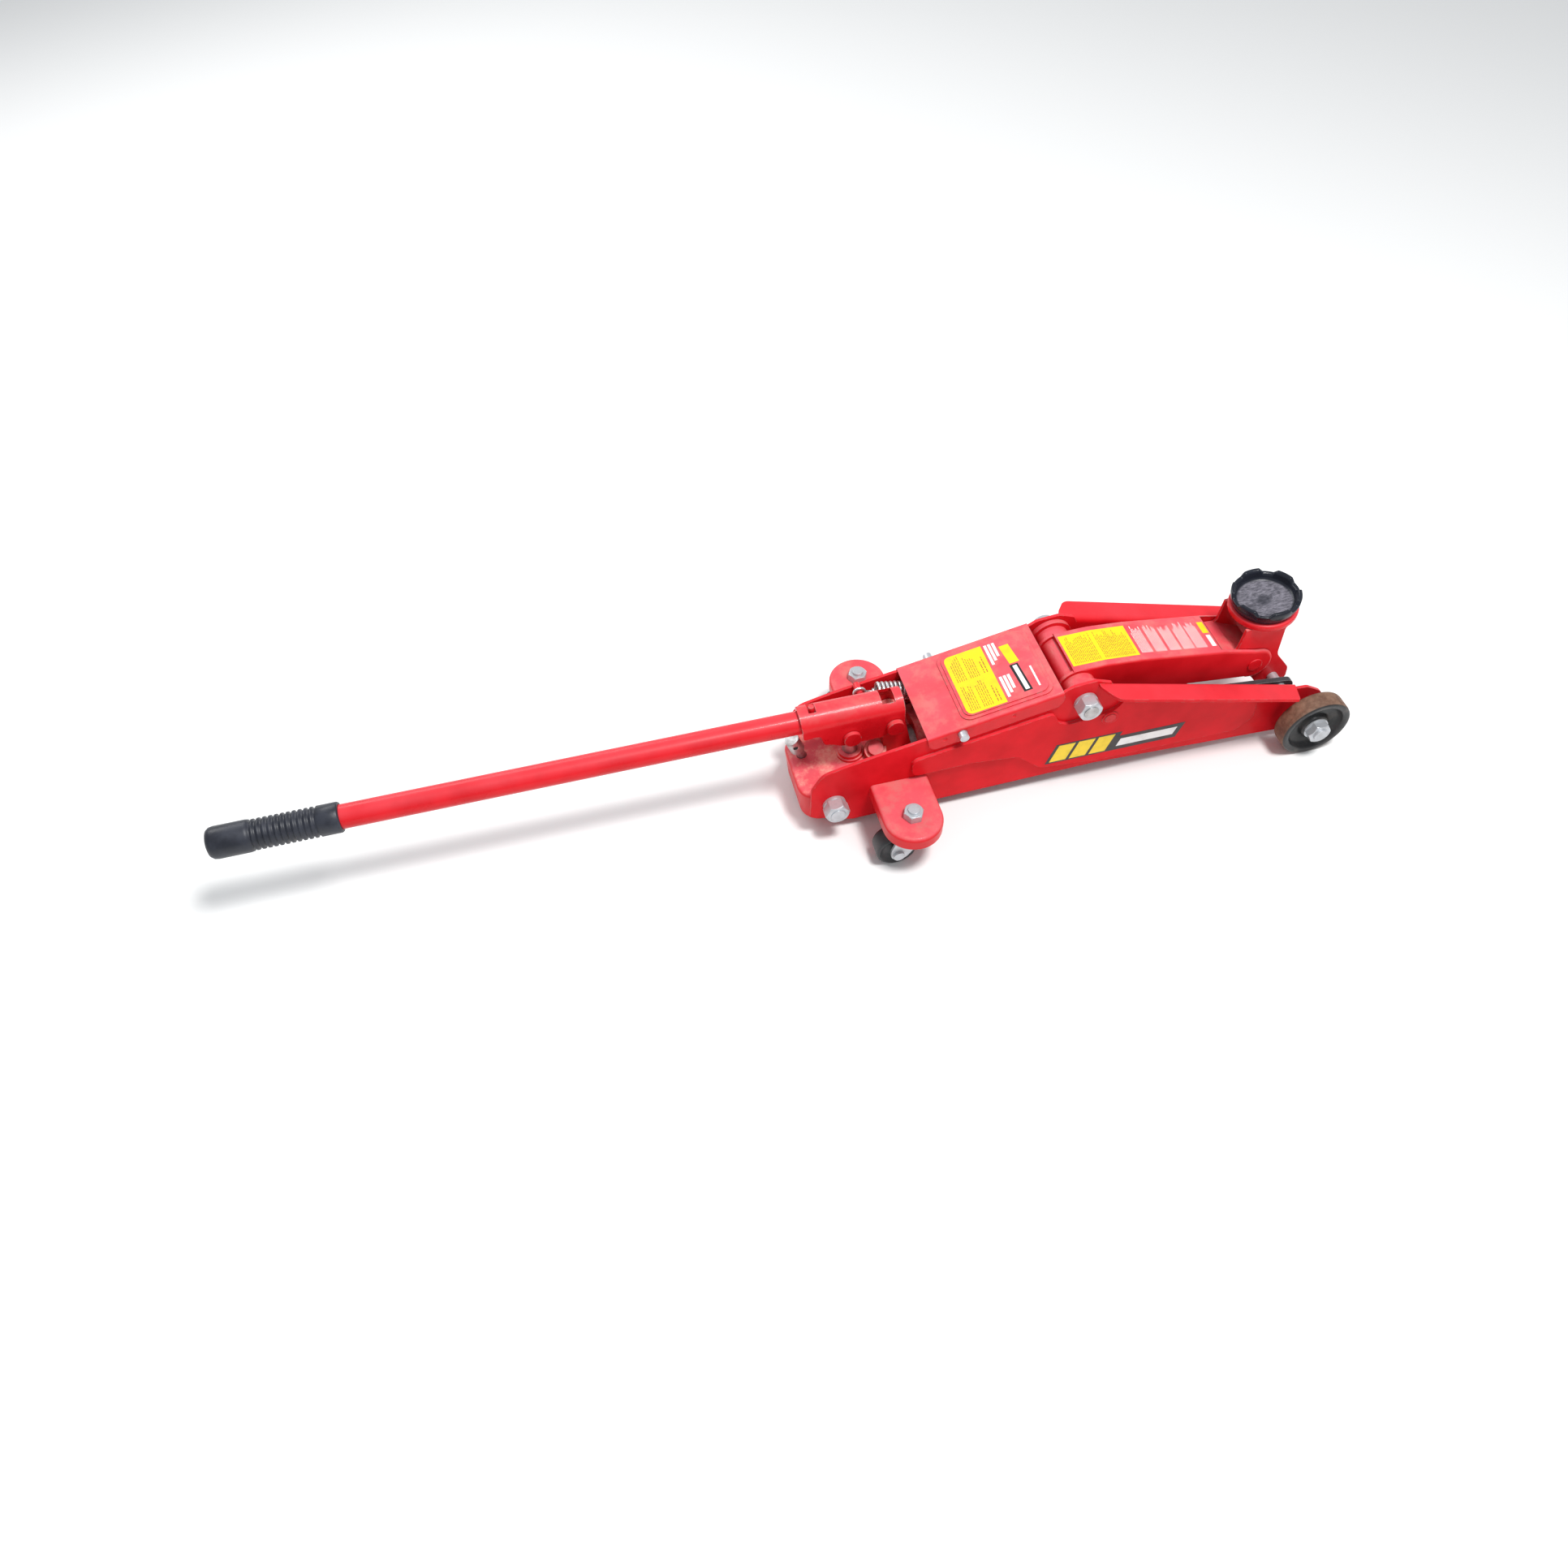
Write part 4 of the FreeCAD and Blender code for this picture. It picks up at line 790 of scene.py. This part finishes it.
def add_cover_print(materials):
    yellow, white, black, brown = (materials["label_" + ink] for ink in ("yellow", "white", "black", "brown"))
    block = rounded_block(*COVER_LABEL, COVER_LABEL_CORNER)
    printed("cover_label", "frame", on_cover, block, yellow)
    printed("cover_small_print", "frame", on_cover, cover_small_print(), brown, TOP_FILM)
    printed("cover_white_bars", "frame", on_cover, cover_title_bars(), white)
    printed("cover_stripe_black", "frame", on_cover, [patch(*COVER_STRIPE_BLACK)], black)
    printed("cover_stripe_white", "frame", on_cover, [patch(*COVER_STRIPE_WHITE)], white, TOP_FILM)
    printed("cover_stripe_yellow", "frame", on_cover, [patch(*COVER_STRIPE_YELLOW)], yellow)


ARM_LABEL = ((-5.8, 21.0, -17.3, 16.8), (21.0, 51.5, -17.3, 16.8))
ARM_LABEL_SLICES = 4                       # cuts that let the label follow the arm's bent top
ARM_SMALL_BLOCKS = ((-3.0, 19.0, 19), (22.5, 49.5, 49))                    # u0, u1, seed
ARM_SMALL_SPAN, ARM_SMALL_PITCH, ARM_SMALL_HEIGHT = (-15.5, 15.0), 1.5, 0.5
ARM_WHITE_BLOCKS = ((54.5, 104), (67.5, 117), (80.5, 130), (93.0, 143), (105.0, 155))          # u0, seed
ARM_WHITE_LENGTH, ARM_WHITE_SPAN = 10.0, (-15.5, 15.5)
ARM_WHITE_PITCH, ARM_WHITE_HEIGHT = 1.5, 0.6
ARM_STRIPE_WHITE = (119.5, 123.5, -15.0, -2.0)
ARM_STRIPE_YELLOW = (118.5, 124.0, 0.5, 13.5)


def add_arm_print(materials):
    yellow, white, brown = (materials["label_" + ink] for ink in ("yellow", "white", "brown"))
    label = [patch(*part) for part in ARM_LABEL]
    printed("arm_label", "lift_arm", on_arm, label, yellow, slices=ARM_LABEL_SLICES)
    small = []
    for u0, u1, seed in ARM_SMALL_BLOCKS:
        small += rows(u0, u1, *ARM_SMALL_SPAN, ARM_SMALL_PITCH, ARM_SMALL_HEIGHT, seed)
    printed("arm_small_print", "lift_arm", on_arm, small, brown, TOP_FILM)
    bars = []
    for u0, seed in ARM_WHITE_BLOCKS:
        bars += rows(u0, u0 + ARM_WHITE_LENGTH, *ARM_WHITE_SPAN, ARM_WHITE_PITCH, ARM_WHITE_HEIGHT, seed)
    bars.append(patch(*ARM_STRIPE_WHITE))
    printed("arm_white_bars", "lift_arm", on_arm, bars, white)
    printed("arm_stripe_yellow", "lift_arm", on_arm, [patch(*ARM_STRIPE_YELLOW)], yellow)


STRIPE_REAR = (-31.0, -65.5)               # rear lower corner of the side stripe, from the main shaft
STRIPE_FALL = 0.095                        # level with the ground, the stripe falls against the chassis
STRIPE_SLANT = 0.42
STRIPE_BASE = ((-31, 27, 0, 22), (27, 86, 0, 17))                          # u0, u1, low, high
STRIPE_WHITE = (30, 81, 4.5, 13.0)
YELLOW_BLOCKS, YELLOW_PITCH = 3, 17.5
YELLOW_FROM, YELLOW_TO = -28, -13.5        # u of the first yellow block's ends
YELLOW_LOW, YELLOW_HIGH = 1.6, 20.4


def stripe_part(u0, u1, low, high):
    """Slanted part of the side stripe between two heights over its base line."""
    corners = []
    for u, rise in ((u0, low), (u1, low), (u1, high), (u0, high)):
        base = STRIPE_REAR[1] - STRIPE_FALL * (u - STRIPE_REAR[0])
        corners.append((u + STRIPE_SLANT * rise, base + rise))
    return tuple(corners)


def yellow_blocks():
    blocks = []
    for k in range(YELLOW_BLOCKS):
        step = YELLOW_PITCH * k
        blocks.append(stripe_part(YELLOW_FROM + step, YELLOW_TO + step, YELLOW_LOW, YELLOW_HIGH))
    return blocks


def add_side_print(materials):
    """Plain slanted stripes on both sides, where a real jack carries its maker's decal."""
    yellow, white, black = (materials["label_" + ink] for ink in ("yellow", "white", "black"))
    base = [stripe_part(*part) for part in STRIPE_BASE]
    for side in ("left", "right"):
        place = on_panel(side)
        printed("side_stripe_base_" + side, "frame", place, base, black)
        printed("side_stripe_yellow_" + side, "frame", place, yellow_blocks(), yellow, TOP_FILM)
        printed("side_stripe_white_" + side, "frame", place, [stripe_part(*STRIPE_WHITE)], white, TOP_FILM)


# ---------------------------------------------------------------- make everything
def main():
    materials = make_materials()
    add_camera()
    add_studio()
    dress_cad_nodes(materials)
    add_saddle(materials)
    add_grip(materials)
    add_wheels(materials)
    add_spring(materials)
    add_cover_print(materials)
    add_arm_print(materials)
    add_side_print(materials)


main()
